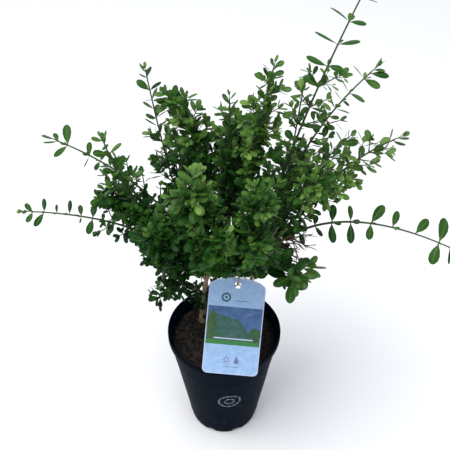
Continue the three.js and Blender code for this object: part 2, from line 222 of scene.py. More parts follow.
# %% [markdown]
# ## The pot
#
# A nursery pot is moulded from polypropylene in one shot: a thin tapered shell with a stiffer band at its
# mouth, low rings that the mould leaves, and cut-outs round its foot so that water can run out. A profile
# that is turned about the upright axis gives the shell, and a Boolean takes the cut-outs away. The real
# pot is so thin that it is never quite round, so the shell is pushed out of true by a fraction of a
# millimetre, and a soft dent stays where hands have squeezed it.

# %% Profile of the pot
POT_HEIGHT = 166
POT_RIM_RADIUS = 70
POT_FOOT_RADIUS = 44
POT_WALL = 1.6
POT_FLOOR = 2.4
POT_LIP = 2.6
POT_LIP_HEIGHT = 10
SHOULDER = POT_HEIGHT - POT_LIP_HEIGHT
MOULD_RINGS = (16, 128, 134)
MOULD_RING_HEIGHT = 0.45
MOULD_RING_WIDTH = 1.5


def wall_radius(z):
    """The radius of the pot's outer wall at a height, below its lip."""
    return POT_FOOT_RADIUS + (POT_RIM_RADIUS - POT_LIP - POT_FOOT_RADIUS) * z / SHOULDER


def ring_rise(z, centre):
    """How far a low raised ring stands out of the wall, as the mould leaves it."""
    return MOULD_RING_HEIGHT * math.exp(-(((z - centre) / MOULD_RING_WIDTH) ** 2))


def outer_profile():
    """Radius and height from the middle of the underside, up the wall and over the lip."""
    points = [(0, 0), (POT_FOOT_RADIUS - 2, 0), (POT_FOOT_RADIUS - 0.6, 0.6), (POT_FOOT_RADIUS, 2)]
    for z in np.linspace(4, SHOULDER - 1.2, 56):
        points.append((sum([ring_rise(z, centre) for centre in MOULD_RINGS], wall_radius(z)), z))
    points += [(wall_radius(SHOULDER), SHOULDER - 0.5), (POT_RIM_RADIUS - 0.7, SHOULDER + 0.2)]
    points += [(POT_RIM_RADIUS - 0.1, SHOULDER + 1), (POT_RIM_RADIUS, POT_HEIGHT - 2)]
    return points + [(POT_RIM_RADIUS - 0.2, POT_HEIGHT - 0.6), (POT_RIM_RADIUS - 0.8, POT_HEIGHT)]


def inner_profile():
    """Radius and height from inside the lip down to the middle of the pot's floor."""
    inside = POT_RIM_RADIUS - POT_WALL
    points = [(inside + 0.2, POT_HEIGHT - 0.4), (inside, POT_HEIGHT - 2)]
    points += [(wall_radius(z) - POT_WALL, z) for z in np.linspace(SHOULDER, POT_FLOOR, 20)]
    return points + [(0, POT_FLOOR)]


pot_profile = outer_profile() + inner_profile()
print("points on the pot's profile:", len(pot_profile))

# %% Shell of the pot
POT_SIDES = 144
OVAL, THREE_SIDED = 0.006, 0.004
DENT_TURN, DENT_HEIGHT, DENT_DEPTH = -0.35, 120, 0.012
DENT_WIDTH, DENT_REACH = 0.3, 30


def bands(first, rings, sides):
    """The faces between rings of points that follow each other in a list, from a first point."""
    faces = []
    for low in range(first, first + (rings - 1) * sides, sides):
        for i in range(sides):
            j = (i + 1) % sides
            faces.append((low + i, low + j, low + sides + j, low + sides + i))
    return faces


def turned(profile, sides):
    """Points and faces of a profile turned about the upright axis, on which it starts and ends."""
    points = [point for radius, z in profile[1:-1] for point in circle(radius, z, sides)]
    points += [(0, 0, profile[0][1]), (0, 0, profile[-1][1])]
    low, high = len(points) - 2, len(points) - 1
    faces = bands(0, len(profile) - 2, sides)
    for i in range(sides):
        j = (i + 1) % sides
        faces += [(low, j, i), (high, low - sides + i, low - sides + j)]
    return np.array(points, float), faces


def out_of_true(points):
    """Pushes a thin shell a little out of round, with one soft dent at the right of its front."""
    x, y, z = points.T
    angle = np.arctan2(y, x)
    up = np.clip(z / POT_HEIGHT, 0, 1)
    dent = np.exp(-(((angle - DENT_TURN) / DENT_WIDTH) ** 2))
    dent = dent * np.exp(-(((z - DENT_HEIGHT) / DENT_REACH) ** 2))
    waves = OVAL * np.cos(2 * angle + 0.6) + THREE_SIDED * np.cos(3 * angle)
    swell = 1 + up * waves - DENT_DEPTH * dent
    return np.stack([x * swell, y * swell, z], 1)


pot_points, pot_faces = turned(pot_profile, POT_SIDES)
print("pot points:", len(pot_points), "height in mm:", pot_points[:, 2].max())

# %% [markdown]
# ## Moulded black polypropylene
#
# The pot is black recycled polypropylene, moulded with a satin face. The eye sees a near-black that turns
# blue-grey where it mirrors the sky, a fine pebbled texture, and a mark of use: pale dust that has dried
# on in splashes near the foot. Polypropylene has an IOR of about 1.49.

# %% Black polypropylene
BLACK_PLASTIC = "#08111c"
DRIED_DUST = "#364558"
SKY_ON_PLASTIC = "#7f9cc8"
PLASTIC_IOR = 1.49
PEBBLE_SIZE = 0.9
SPLASH_SIZE = 9
DUST_TOP = 130


def dust_on_plastic(tree, place):
    """How much dried dust lies on the pot: splashes, thick at the foot and thin above."""
    height = add_node(tree, "SeparateXYZ", {}, {"Vector": place}, "Z")
    fading = {"Value": height, "From Min": 0, "From Max": DUST_TOP * MM, "To Min": 0.6, "To Max": 0.15}
    noise_sockets = {"Vector": place, "Scale": per_size(SPLASH_SIZE), "Detail": 8, "Roughness": 0.7}
    splashes = add_node(tree, "TexNoise", {}, noise_sockets)
    spots = add_node(tree, "MapRange", {}, {"Value": splashes, "From Min": 0.5, "From Max": 0.78})
    low_down = add_node(tree, "MapRange", {}, fading)
    return add_node(tree, "Math", {"operation": "MULTIPLY"}, {0: spots, 1: low_down})


def black_polypropylene():
    """Satin black plastic with a faint gloss of sky, fine pebbles and dried dust."""
    material, tree, place = new_material("moulded black polypropylene")
    dust = dust_on_plastic(tree, place)
    tints = {SHARE: dust, FIRST: colour(BLACK_PLASTIC), SECOND: colour(DRIED_DUST)}
    pebbles = add_node(tree, "TexNoise", {}, {"Vector": place, "Scale": per_size(PEBBLE_SIZE)})
    look = {
        "Base Color": add_node(tree, "Mix", COLOURS, tints, MIXED),
        "Roughness": add_node(tree, "MapRange", {}, {"Value": dust, "To Min": 0.42, "To Max": 0.85}),
        "IOR": PLASTIC_IOR,
        "Specular IOR Level": 0.008,
        "Specular Tint": colour(SKY_ON_PLASTIC),
        "Normal": add_node(tree, "Bump", {}, {"Height": pebbles, "Strength": 0.35, "Distance": 0.08 * MM}),
    }
    finish_material(tree, look)
    return material


pot_plastic = black_polypropylene()
print("material:", pot_plastic.name)

# %% [markdown]
# ## Drainage notches
#
# Notches round the foot of the pot let water out. They interrupt its round profile, so turning can't give
# them. A Boolean modifier takes a ring of small boxes away from the shell, and its exact solver keeps the
# thin wall closed. Many things on this plant are made of small meshes as these boxes are, so a heap joins
# them first: one object of many parts is far quicker to draw than many objects.

# %% Collect small meshes
BOX_FACES = [(0, 3, 2, 1), (4, 5, 6, 7), (0, 1, 5, 4), (1, 2, 6, 5), (2, 3, 7, 6), (3, 0, 4, 7)]


class Heap:
    """Collects many small meshes, to join them into one object."""

    def __init__(self):
        self.points, self.faces, self.finishes = [], [], []

    def put(self, points, faces, finish=0):
        """Adds a small mesh, whose faces all have one finish."""
        first = len(self.points)
        self.points += list(points)
        self.faces += [tuple(first + corner for corner in face) for face in faces]
        self.finishes += [finish] * len(faces)

    def build(self, name, materials, smooth=True):
        """One object of all that was put in."""
        return object_from(name, self.points, self.faces, materials, self.finishes, smooth)


print("faces of a box:", len(BOX_FACES))

# %% Cutters for the drainage notches
NOTCHES = 8
NOTCH_WIDTH = 11
NOTCH_HEIGHT = 6
NOTCH_INWARD, NOTCH_OUTWARD = -5, 7


def notch_cutters():
    """A box through the wall at each notch."""
    heap = Heap()
    corners = ((NOTCH_INWARD, -0.5), (NOTCH_OUTWARD, -0.5), (NOTCH_OUTWARD, 0.5), (NOTCH_INWARD, 0.5))
    for i in range(NOTCHES):
        turn = (i + 0.5) / NOTCHES * 2 * math.pi
        out = np.array([math.cos(turn), math.sin(turn), 0])
        side = np.array([-math.sin(turn), math.cos(turn), 0])
        points = []
        for z in (-NOTCH_HEIGHT, NOTCH_HEIGHT):
            for far, aside in corners:
                place = (POT_FOOT_RADIUS + far) * out + aside * NOTCH_WIDTH * side
                points.append(place + np.array([0, 0, z]))
        heap.put(points, BOX_FACES)
    return heap.build("notch_cutters", [], smooth=False)


cutters = notch_cutters()
print("faces of the cutters:", len(cutters.data.polygons))

# %% Cut the notches
SHARPEST_SMOOTH_EDGE = 40


def made_mesh(thing):
    """A mesh of what an object looks like with its modifiers."""
    return bpy.data.meshes.new_from_object(thing.evaluated_get(bpy.context.evaluated_depsgraph_get()))


def settle(thing):
    """Puts the result of an object's modifiers into its mesh."""
    mesh = made_mesh(thing)
    thing.modifiers.clear()
    thing.data = mesh


pot = object_from("nursery_pot", out_of_true(pot_points), pot_faces, [pot_plastic])
cut = pot.modifiers.new("notches", "BOOLEAN")
cut.object, cut.operation, cut.solver = cutters, "DIFFERENCE", "EXACT"
settle(pot)
bpy.data.objects.remove(cutters)
pot.data.set_sharp_from_angle(angle=math.radians(SHARPEST_SMOOTH_EDGE))
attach(pot, "root")
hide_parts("pot")
print("pot faces after the cut:", len(pot.data.polygons))

# %% [markdown]
# ## Marks of the mould
#
# On the front the mould leaves two plain raised rings, one inside the other. Being proud of the wall they
# take the scuffs, so their black has turned to a chalky grey. Each is a narrow band that follows the
# wall, and a noise breaks up its colour so that it looks rubbed and not painted. Scuffed plastic, earth,
# vinyl and bark all share one recipe: flecks of a real size that both tint the face and roughen it.

# %% Scuffed polypropylene
CHALKY_GREY = "#76828c"


def flecked(name, tints, size, spread, bump, look, detail=6, breakup=0.65, most=1, squeeze=(1, 1, 1)):
    """A material with flecks of a size in millimetres, from one colour to another.

    The spread is the part of the noise that takes the colour from the first to the second, and the bump is
    how strong and how deep the dents are.
    """
    material, tree, place = new_material(name)
    if squeeze != (1, 1, 1):
        place = add_node(tree, "Mapping", {}, {"Vector": place, "Scale": squeeze})
    noise_sockets = {"Vector": place, "Scale": per_size(size), "Detail": detail, "Roughness": breakup}
    flecks = add_node(tree, "TexNoise", {}, noise_sockets)
    ranged = {"Value": flecks, "From Min": spread[0], "From Max": spread[1], "To Max": most}
    share = add_node(tree, "MapRange", {}, ranged)
    mixed_tints = {SHARE: share, FIRST: colour(tints[0]), SECOND: colour(tints[1])}
    dents = {"Height": flecks, "Strength": bump[0], "Distance": bump[1] * MM}
    tinted = add_node(tree, "Mix", COLOURS, mixed_tints, MIXED)
    finish_material(tree, {"Base Color": tinted, "Normal": add_node(tree, "Bump", {}, dents), **look})
    return material


def scuffed_plastic():
    """Black plastic rubbed to a dull, chalky grey where it stands proud."""
    look = {"Roughness": 0.8, "IOR": PLASTIC_IOR}
    tints = (BLACK_PLASTIC, CHALKY_GREY)
    return flecked("scuffed black polypropylene", tints, 3, (0.44, 0.6), (0.6, 0.2), look, breakup=0.75)


scuffed = scuffed_plastic()
print("material:", scuffed.name)

# %% Scuffed rings
MARK_TURN = math.radians(-83)
MARK_HEIGHT = 91
MARK_SIDES = 48
MARK_BEVEL = 0.3
SUNK = -0.2

# Inner radius, outer radius, and how far it stands out of the wall
MARK_RINGS = ((12.2, 15.0, 0.45), (4.6, 7.4, 0.35))


def on_wall(aside, up, proud):
    """A point on the pot's wall, from its place on the flattened wall round the mark."""
    z = MARK_HEIGHT + up
    turn = MARK_TURN + aside / wall_radius(z)
    radius = wall_radius(z) + proud
    return out_of_true(np.array([[radius * math.cos(turn), radius * math.sin(turn), z]]))[0]


def flipped(faces):
    """The same faces, seen from their other side."""
    return [(a, d, c, b) for a, b, c, d in faces]


def ring_on_wall(inner, outer, proud):
    """A raised band with sloping edges, whose feet are sunk in the wall."""
    profile = ((inner, SUNK), (inner + MARK_BEVEL, proud), (outer - MARK_BEVEL, proud), (outer, SUNK))
    points = [on_wall(x, y, out) for radius, out in profile for x, y, _ in circle(radius, 0, MARK_SIDES)]
    return points, flipped(bands(0, len(profile), MARK_SIDES))


marks = Heap()
for ring in MARK_RINGS:
    marks.put(*ring_on_wall(*ring))
mark = marks.build("mould_ring", [scuffed])
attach(mark, "root")
print("rings across in mm:", [2 * outer for _, outer, _ in MARK_RINGS])

# %% [markdown]
# ## Potting mix
#
# The pot is filled with a mix of peat and shredded bark, dark when moist, with a few larger chips of
# red-brown bark and dry straw on top. The mix and the chips are coloured darker still than damp peat and
# bark, as painted shade under the crown. The bulk is one lumpy disc: a fine round grid whose height comes
# from a noise. The chips are small uneven blocks scattered over it, each turned its own way and half
# sunk, which catches the light as loose mulch does.

# %% Potting mix
SOIL_TOP = 150
SOIL_SLUMP = 4
SOIL_EDGE = wall_radius(SOIL_TOP - SOIL_SLUMP) - POT_WALL - 0.3
SOIL_RINGS = 46
SOIL_SIDES = 120
SOIL_WAIST = 120
SOIL_CLEAR = 0.4

# The lumps of the mix: their height, their layer of the noise, and their size
LUMPS = ((2.2, 3.0, 14), (1.0, 9.0, 5))


def mulch(name, dark, light, grain, roughness=0.95):
    """Damp organic crumbs: dull, and speckled at the size of the grain."""
    return flecked(name, (dark, light), grain, (0.35, 0.7), (0.9, grain * 0.4), {"Roughness": roughness})


def slump(x, y):
    """How far the mix has sunk towards the wall."""
    return SOIL_SLUMP * (math.hypot(x, y) / SOIL_EDGE) ** 3


def soil_height(x, y):
    """The height of the mix, with lumps of two sizes."""
    lumps = sum(height * noise.noise(Vector((x, y, layer)) / size) for height, layer, size in LUMPS)
    return SOIL_TOP - slump(x, y) + lumps


def soil_mesh():
    """The lumpy top in rings from the middle to the wall, and plain sides and a plain underside."""
    points = [(0, 0, soil_height(0, 0))]
    for ring in range(1, SOIL_RINGS + 1):
        rim = circle(SOIL_EDGE * ring / SOIL_RINGS, 0, SOIL_SIDES)
        points += [(x, y, soil_height(x, y)) for x, y, _ in rim]
    points += circle(wall_radius(SOIL_WAIST) - POT_WALL - SOIL_CLEAR, SOIL_WAIST, SOIL_SIDES)
    points += circle(POT_FOOT_RADIUS - POT_WALL - SOIL_CLEAR, POT_FLOOR + 0.3, SOIL_SIDES)
    faces = [(0, 1 + i, 1 + (i + 1) % SOIL_SIDES) for i in range(SOIL_SIDES)]
    faces += flipped(bands(1, SOIL_RINGS + 2, SOIL_SIDES))
    faces.append(tuple(len(points) - 1 - i for i in range(SOIL_SIDES)))
    return points, faces


# The near-black colours are the damp mix darkened further by painted shade.
soil = object_from("potting_mix", *soil_mesh(), [mulch("peat and bark mix", "#080707", "#14100d", 3.5)])
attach(soil, "root")
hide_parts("soil")
print("potting mix points:", len(soil.data.vertices))

# %% [markdown]
# ## Repeatable chance
#
# Scattered things need chance, and a lesson needs the same result each time. This small dice gives
# numbers that depend only on its keys, such as a shoot's number, the node on it and the side. The CAD
# model rolled the same dice, so the twigs grown below start where its twigs start. The bark chips are its
# first use.

# %% Dice
DICE_START = 77003
DICE_FACTOR = 48271
DICE_LIMIT = 2147483647


def dice(*keys):
    """A chance between two values, whose rolls are always the same for the same keys."""
    state = DICE_START

    def turn(add):
        nonlocal state
        state = (state * DICE_FACTOR + add) % DICE_LIMIT

    def chance(low, high):
        turn(0)
        return low + (high - low) * state / DICE_LIMIT

    for key in keys:
        turn(key * 9973 + 11)
    for _ in range(3):
        turn(0)
    return chance


# The first key of the dice for each scattered thing that is no main shoot
CHIP_KEY, STRAW_KEY, DRY_KEY, SPROUT_KEY = 900, 950, 970, 980

print("three rolls:", [round(dice(1, 2, side)(0, 1), 3) for side in (0, 1, 2)])

# %% Bark chips
CHIPS = 260
CHIP_LENGTHS = (4, 12)
CHIP_LIFT = 0.6
CHIP_INSET = 5


def chip_points(chance, place, length):
    """An uneven block with eight corners, turned by chance."""
    sizes = np.array([length, length * chance(0.4, 0.7), length * chance(0.16, 0.3)]) / 2
    spin = Matrix.Rotation(chance(0, 6.3), 3, "Z") @ Matrix.Rotation(chance(-0.6, 0.6), 3, "X")
    spin = spin @ Matrix.Rotation(chance(-0.5, 0.5), 3, "Y")
    corners = []
    for z in (-1, 1):
        for x, y in ((-1, -1), (1, -1), (1, 1), (-1, 1)):
            skew = [chance(0.6, 1.15) for _ in range(3)]
            corner = spin @ Vector((x * sizes[0] * skew[0], y * sizes[1] * skew[1], z * sizes[2] * skew[2]))
            corners.append(np.array(place) + corner)
    return corners


def scatter_chips(heap):
    """Drops every chip on the mix, somewhere inside the wall."""
    for i in range(CHIPS):
        chance = dice(CHIP_KEY, i)
        away, turn = (SOIL_EDGE - CHIP_INSET) * math.sqrt(chance(0, 1)), chance(0, 2 * math.pi)
        x, y = away * math.cos(turn), away * math.sin(turn)
        kind = int(chance(0, 2.99))
        place = (x, y, soil_height(x, y) + CHIP_LIFT)
        heap.put(chip_points(chance, place, chance(*CHIP_LENGTHS)), BOX_FACES, kind)


# The chips' colours are damp bark darkened further by painted shade.
bark_mulch = [
    mulch("damp pine bark in painted shade", "#100a08", "#1e1310", 1.6, 0.85),
    mulch("red-brown pine bark", "#190d0a", "#2c1914", 1.6, 0.8),
    mulch("dry pine bark", "#1e1612", "#34271f", 1.6, 0.9),
]
chip_heap = Heap()
scatter_chips(chip_heap)
chips = chip_heap.build("bark_chips", bark_mulch, smooth=False)
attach(chips, "root")
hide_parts("soil")
print("bark chips:", CHIPS)

# %% [markdown]
# ## Tubes
#
# Straw, twine, stems and twigs are all long and round, so one helper skins them all: it takes the points
# of a centre line and a radius at each, and lays a ring of points square to the line at each. The rings
# keep to one reference direction, so the skin never twists. The thickness may vary round the ring, which
# later gives the bark its ridges.

# %% Tube helper
def tube(line, radii, sides, swelling=None):
    """Points and faces of a closed round skin along a centre line."""
    line = np.asarray(line, float)
    runs = np.gradient(line, axis=0)
    runs /= np.linalg.norm(runs, axis=1)[:, None]
    upright = np.array([0.0, 1, 0]) if abs(runs[:, 1]).mean() < 0.8 else np.array([1.0, 0, 0])
    points = []
    for i, (centre, run, radius) in enumerate(zip(line, runs, radii)):
        across = upright - run * (upright @ run)
        across /= np.linalg.norm(across)
        beside = np.cross(run, across)
        for side in range(sides):
            turn = 2 * math.pi * side / sides
            swell = radius * (swelling(i / (len(line) - 1), turn) if swelling else 1)
            points.append(centre + swell * (math.cos(turn) * across + math.sin(turn) * beside))
    last = (len(line) - 1) * sides
    ends = [tuple(reversed(range(sides))), tuple(last + i for i in range(sides))]
    return points, bands(0, len(line), sides) + ends


sample = tube([(0, 0, 0), (0, 0, 5), (0, 1, 10)], [1, 1, 1], 6)
print("a short tube:", len(sample[0]), "points,", len(sample[1]), "faces")

# %% Bits of straw
STRAWS = 24
STRAW_SPREAD = 52
STRAW_RADIUS = 0.35
STRAW_LIFT = 2.4
STRAW_REACH, STRAW_BEND = (5, 15), (-2, 2)
STRAW_POINTS = 7


def straw_line(chance):
    """A flat bowed line on top of the mix."""
    away, turn, way = STRAW_SPREAD * math.sqrt(chance(0, 1)), chance(0, 2 * math.pi), chance(0, 2 * math.pi)
    reach, bend = chance(*STRAW_REACH), chance(*STRAW_BEND)
    line = []
    for share in np.linspace(-1, 1, STRAW_POINTS):
        x = away * math.cos(turn) + share * reach * math.cos(way) - bend * share**2 * math.sin(way)
        y = away * math.sin(turn) + share * reach * math.sin(way) + bend * share**2 * math.cos(way)
        line.append((x, y, SOIL_TOP + STRAW_LIFT + chance(-0.2, 0.2) - slump(x, y)))
    return line


straw = Heap()
for i in range(STRAWS):
    line = straw_line(dice(STRAW_KEY, i))
    straw.put(*tube(line, [STRAW_RADIUS] * STRAW_POINTS, 5))
straws = straw.build("straw_bits", [mulch("dry straw", "#4d3f26", "#83704a", 2, 0.7)])
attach(straws, "root")
print("straw bits:", STRAWS)

# %% [markdown]
# ## Label
#
# A plant label is printed on a card of white rigid vinyl, punched with a hole and cut with round corners
# and an arched head. It leans on the rim of the pot and hangs from a twine loop, so two points fix it:
# where its foot touches the rim and where its head lies. The card is an outline with a hole, filled and
# thickened, which keeps the hole clean without a Boolean, and its edges are rounded a little so that they
# catch the light.

# %% Where the label lies
LABEL_WIDTH = 66
LABEL_LENGTH = 117
LABEL_THICKNESS = 0.7
LABEL_CORNER = 6
LABEL_ARCH = 12
HOLE_RADIUS = 4
HOLE_DROP = 9
LABEL_FOOT = np.array([6.5, -70.4, 166])
LABEL_HEAD = np.array([17, -4.5, 261.5])

label_along = (LABEL_HEAD - LABEL_FOOT) / np.linalg.norm(LABEL_HEAD - LABEL_FOOT)
label_across = np.array([1, 0, 0]) - label_along * label_along[0]
label_across /= np.linalg.norm(label_across)
label_facing = np.cross(label_across, label_along)


def on_label(across, along, proud=0.0):
    """A point on the label, from millimetres across and along its face."""
    return LABEL_FOOT + across * label_across + along * label_along + proud * label_facing


print("label leans back by degrees:", round(math.degrees(math.asin(label_facing[2]))))

# %% Outline of the card
HALF_LABEL = LABEL_WIDTH / 2
CORNER_POINTS, ARCH_POINTS = 9, 33


def arc(x, y, radii, start, end, count):
    """Points on an upright oval round a middle, from one angle in degrees to another."""
    turns = np.radians(np.linspace(start, end, count))
    return [(x + radii[0] * math.cos(turn), y + radii[1] * math.sin(turn)) for turn in turns]


def oval(x, y, radii, count=ARCH_POINTS):
    """A closed oval."""
    return arc(x, y, radii, 0, 360, count)[:-1]


corner = (LABEL_CORNER, LABEL_CORNER)
card_outline = arc(HALF_LABEL - LABEL_CORNER, LABEL_CORNER, corner, -90, 0, CORNER_POINTS)
card_outline += arc(0, LABEL_LENGTH - LABEL_ARCH, (HALF_LABEL, LABEL_ARCH), 0, 180, ARCH_POINTS)
card_outline += arc(-HALF_LABEL + LABEL_CORNER, LABEL_CORNER, corner, 180, 270, CORNER_POINTS)
card_hole = oval(0, LABEL_LENGTH - HOLE_DROP, (HOLE_RADIUS, HOLE_RADIUS))
print("points round the card:", len(card_outline), "and round its hole:", len(card_hole))

# %% Vinyl and inks
def printed_vinyl(name, code, cloud, most):
    """Rigid vinyl under a thin varnish: smooth and glossy, with a faint unevenness that the gloss shows."""
    look = {"Roughness": 0.32, "IOR": 1.53}
    return flecked(name, (code, cloud), 6, (0.35, 0.7), (0.2, 0.1), look, detail=5, breakup=0.6, most=most)


# Each ink's colour, what it clouds towards, and how far
INK_COLOURS = {
    "sky blue ink": ("#33578a", "#4f7ba8", 0.9),
    "far hill green ink": ("#28543c", "#3f6f74", 0.9),
    "near hill green ink": ("#264f2d", "#43703a", 0.8),
    "strip green ink": ("#2f7a3c", "#3b8748", 0.6),
    "grey violet ink": ("#6d74a6", "#7d84b4", 0.5),
    "dark teal ink": ("#2d5f68", "#3a6f70", 0.5),
    # The margin's pale blue is painted blue shade on white vinyl.
    "bare white margin in painted blue shade": ("#b9c8ea", "#c9d3f0", 0.8),
}
SKY, FAR_HILL, NEAR_HILL, STRIP, GREY, TEAL, MARGIN = range(len(INK_COLOURS))

# The white card is coloured pale blue: painted blue shade on white vinyl.
card_vinyl = printed_vinyl("white rigid vinyl in painted blue shade", "#93b8e0", "#a9c9ee", 1.0)
inks = [printed_vinyl(name, *facts) for name, facts in INK_COLOURS.items()]
print("inks:", len(inks))

# %% Vinyl card
CARD_EDGE = 0.12


def card():
    """The card as a solid plate: front and back filled round the hole, and walls between them."""
    curve = bpy.data.curves.new("card_shape", "CURVE")
    curve.dimensions, curve.fill_mode = "2D", "BOTH"
    curve.extrude = LABEL_THICKNESS / 2 * MM
    for loop in (card_outline, card_hole):
        line = curve.splines.new("POLY")
        line.points.add(len(loop) - 1)
        for point, (x, y) in zip(line.points, loop):
            point.co = (x * MM, y * MM, 0, 1)
        line.use_cyclic_u = True
    flat = bpy.data.objects.new("card_shape", curve)
    scene.collection.objects.link(flat)
    mesh = made_mesh(flat)
    bpy.data.objects.remove(flat)
    middle = on_label(0, 0, LABEL_THICKNESS / 2)
    basis = np.stack([label_across, label_along, label_facing], 1)
    mesh.transform(Matrix.LocRotScale(Vector(middle) * MM, Matrix(basis.tolist()), None))
    return mesh


card_mesh = card()
card_mesh.materials.clear()
card_mesh.materials.append(card_vinyl)
label = bpy.data.objects.new("label_card", card_mesh)
scene.collection.objects.link(label)
edge = label.modifiers.new("edge", "BEVEL")
edge.width, edge.segments = CARD_EDGE * MM, 2
settle(label)
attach(label, "root")
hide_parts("label")
print("label faces:", len(label.data.polygons))

# %% [markdown]
# ## Print on the label
#
# Ink lies on vinyl as a film too thin to feel, and an image could hold it. Here each colour is a thin
# sheet of its own that lies on the card, so its edges stay sharp at any distance and no picture file is
# needed. Four bands from edge to edge give a green strip, two rows of hills and the sky. Flat patches on
# them give a tree, a bush, a small cloud and a pale path. Above the scene stand a ring round a dot and a
# bar, and below it two care signs, a sun and a water drop, over another bar. Patches that overlap lie a
# few hundredths of a millimetre apart.

# %% Hills under a sky
INK_PROUD = 0.06
STRIP_LOW, STRIP_HIGH, SKY_HIGH = 36, 41.5, 82
INK_COLUMNS = 61
INK_INSET = 0.02


def inked_point(x, y, layers=1):
    """A point on the print. A patch that lies over others is a layer or two further out."""
    return on_label(x, y, LABEL_THICKNESS + INK_PROUD * layers)


def far_hill(x):
    """The height of the far hills, from millimetres across the card."""
    return 64 - 0.22 * x + 6 * math.sin(x / 9 + 2.4) + 2.5 * math.sin(x / 4.3)


def near_hill(x):
    """The height of the near hills."""
    return 49 + 5 * math.sin(x / 14 - 1.9) + 1.5 * math.sin(x / 5.1 + 1)


ink_heap = Heap()
columns = np.linspace(-HALF_LABEL + INK_INSET, HALF_LABEL - INK_INSET, INK_COLUMNS)
heights = [[STRIP_LOW, STRIP_HIGH, near_hill(x), far_hill(x), SKY_HIGH] for x in columns]
for low, ink in enumerate((STRIP, NEAR_HILL, FAR_HILL, SKY)):
    points = [inked_point(x, rise) for x, rises in zip(columns, heights) for rise in rises[low : low + 2]]
    faces = [(2 * i, 2 * i + 2, 2 * i + 3, 2 * i + 1) for i in range(INK_COLUMNS - 1)]
    ink_heap.put(points, faces, ink)
print("bands of ink:", low + 1)

# %% Patches and rings of ink
MARGIN_WIDTH = 1.2


def inked(outline, ink, layers=1):
    """A flat patch of ink with any outline."""
    ink_heap.put([inked_point(x, y, layers) for x, y in outline], [tuple(range(len(outline)))], ink)


def inked_bar(x, y, length, width, ink, turn=0.0, layers=1):
    """A straight bar of ink round a middle."""
    run, rise = length / 2 * math.cos(turn), length / 2 * math.sin(turn)
    aside, up = -width / 2 * math.sin(turn), width / 2 * math.cos(turn)
    corners = [(-1, -1), (1, -1), (1, 1), (-1, 1)]
    inked([(x + a * run + b * aside, y + a * rise + b * up) for a, b in corners], ink, layers)


def inked_ring(x, y, inner, outer, ink):
    """A ring of ink, with its first and last points at the same place."""
    inside, outside = [arc(x, y, (radius, radius), 0, 360, ARCH_POINTS) for radius in (inner, outer)]
    points = [inked_point(*place) for pair in zip(inside, outside) for place in pair]
    ink_heap.put(points, [(i, i + 1, i + 3, i + 2) for i in range(0, len(points) - 2, 2)], ink)


shrink = 1 - MARGIN_WIDTH / HALF_LABEL, 1 - 2 * MARGIN_WIDTH / LABEL_LENGTH
inner_edge = [(x * shrink[0], MARGIN_WIDTH + y * shrink[1]) for x, y in card_outline]
edge_points = [inked_point(*place, 1.5) for pair in zip(inner_edge, card_outline) for place in pair]
around = len(edge_points)
edge_faces = [(i, i + 1, (i + 3) % around, (i + 2) % around) for i in range(0, around, 2)]
ink_heap.put(edge_points, edge_faces, MARGIN)
print("points round the margin:", around)

# %% Garden scene and care signs
TREE, BUSH, CLOUD = ((-26, 60), (6, 17)), ((25, 49), (7.2, 9)), ((17, 74.5), (4, 1.3))
DOT_AT = (-12, 93)
SUN_AT = (-5.5, 17.5)
RAYS, RAY_DISTANCE = 8, 4.6
DROP_AT, DROP_TIP = (6.5, 16.2), 22.6

# The middle, the length and the width of each straight bar
PATH, UPPER_BAR, LOWER_BAR = (0.5, 43.6, 46, 1.5), (6, 89.5, 16, 0.9), (0.5, 9.2, 19, 0.7)

inked(oval(*TREE[0], TREE[1]), NEAR_HILL, 2)
inked(oval(*BUSH[0], BUSH[1]), NEAR_HILL, 2)
inked(oval(*CLOUD[0], CLOUD[1], 17), GREY, 2)
inked_bar(*PATH, MARGIN, layers=3)
inked_ring(*DOT_AT, 3.4, 5.6, TEAL)
inked(oval(*DOT_AT, (1.7, 1.7), 17), TEAL)
inked_bar(*UPPER_BAR, GREY)
inked_ring(*SUN_AT, 2.0, 3.0, GREY)
for ray in range(RAYS):
    turn = ray * math.pi / 4
    x, y = SUN_AT[0] + RAY_DISTANCE * math.cos(turn), SUN_AT[1] + RAY_DISTANCE * math.sin(turn)
    inked_bar(x, y, 1.7, 0.8, GREY, turn)
inked(arc(*DROP_AT, (3.0, 3.0), 150, 390, 17) + [(DROP_AT[0], DROP_TIP)], GREY)
inked_bar(*LOWER_BAR, GREY)

label_print = ink_heap.build("label_print", inks, smooth=False)
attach(label_print, "root")
print("faces of ink:", len(ink_heap.faces))

# %% [markdown]
# ## Wood and boughs, worked out as curves
#
# Four woody stems come up side by side and fork into twenty-six shoots. Each is a smooth curve that is
# drawn towards one middle point, which is all that a young shoot needs: it leaves its stem, arches, and
# ends in its tip. The numbers are the same as in the CAD model, so what grows here covers the same space.
# The lower part of a shoot is bare wood, the bough, and the upper part carries leaves.

# %% Stems
# The foot's place, the fork's place, and the radius at each
STEMS = {
    "left": ((-27, 26), (-19, 12, 250), (3.3, 2.4)),
    "middle": ((4, 14), (12, 8, 264), (3.2, 2.3)),
    "right": ((27, 24), (36, 17, 252), (2.9, 2.1)),
    "back": ((-2, 40), (4, 46, 262), (3.1, 2.2)),
}
CLEARANCE = 0.3


def bow(start, knee, tip):
    """A limb's centre line: a curve from start to tip that is drawn towards its knee."""

    def at(share):
        share = np.asarray(share, float)[..., None]
        return (1 - share) ** 2 * start + 2 * share * (1 - share) * knee + share**2 * tip

    return at


stem_lines = {}
for name, (foot, fork, radii) in STEMS.items():
    start = np.array([*foot, SOIL_TOP + CLEARANCE])
    knee = np.array([*foot, (start[2] + fork[2]) / 2])
    stem_lines[name] = bow(start, knee, np.array(fork, float))
print("stems:", len(stem_lines))

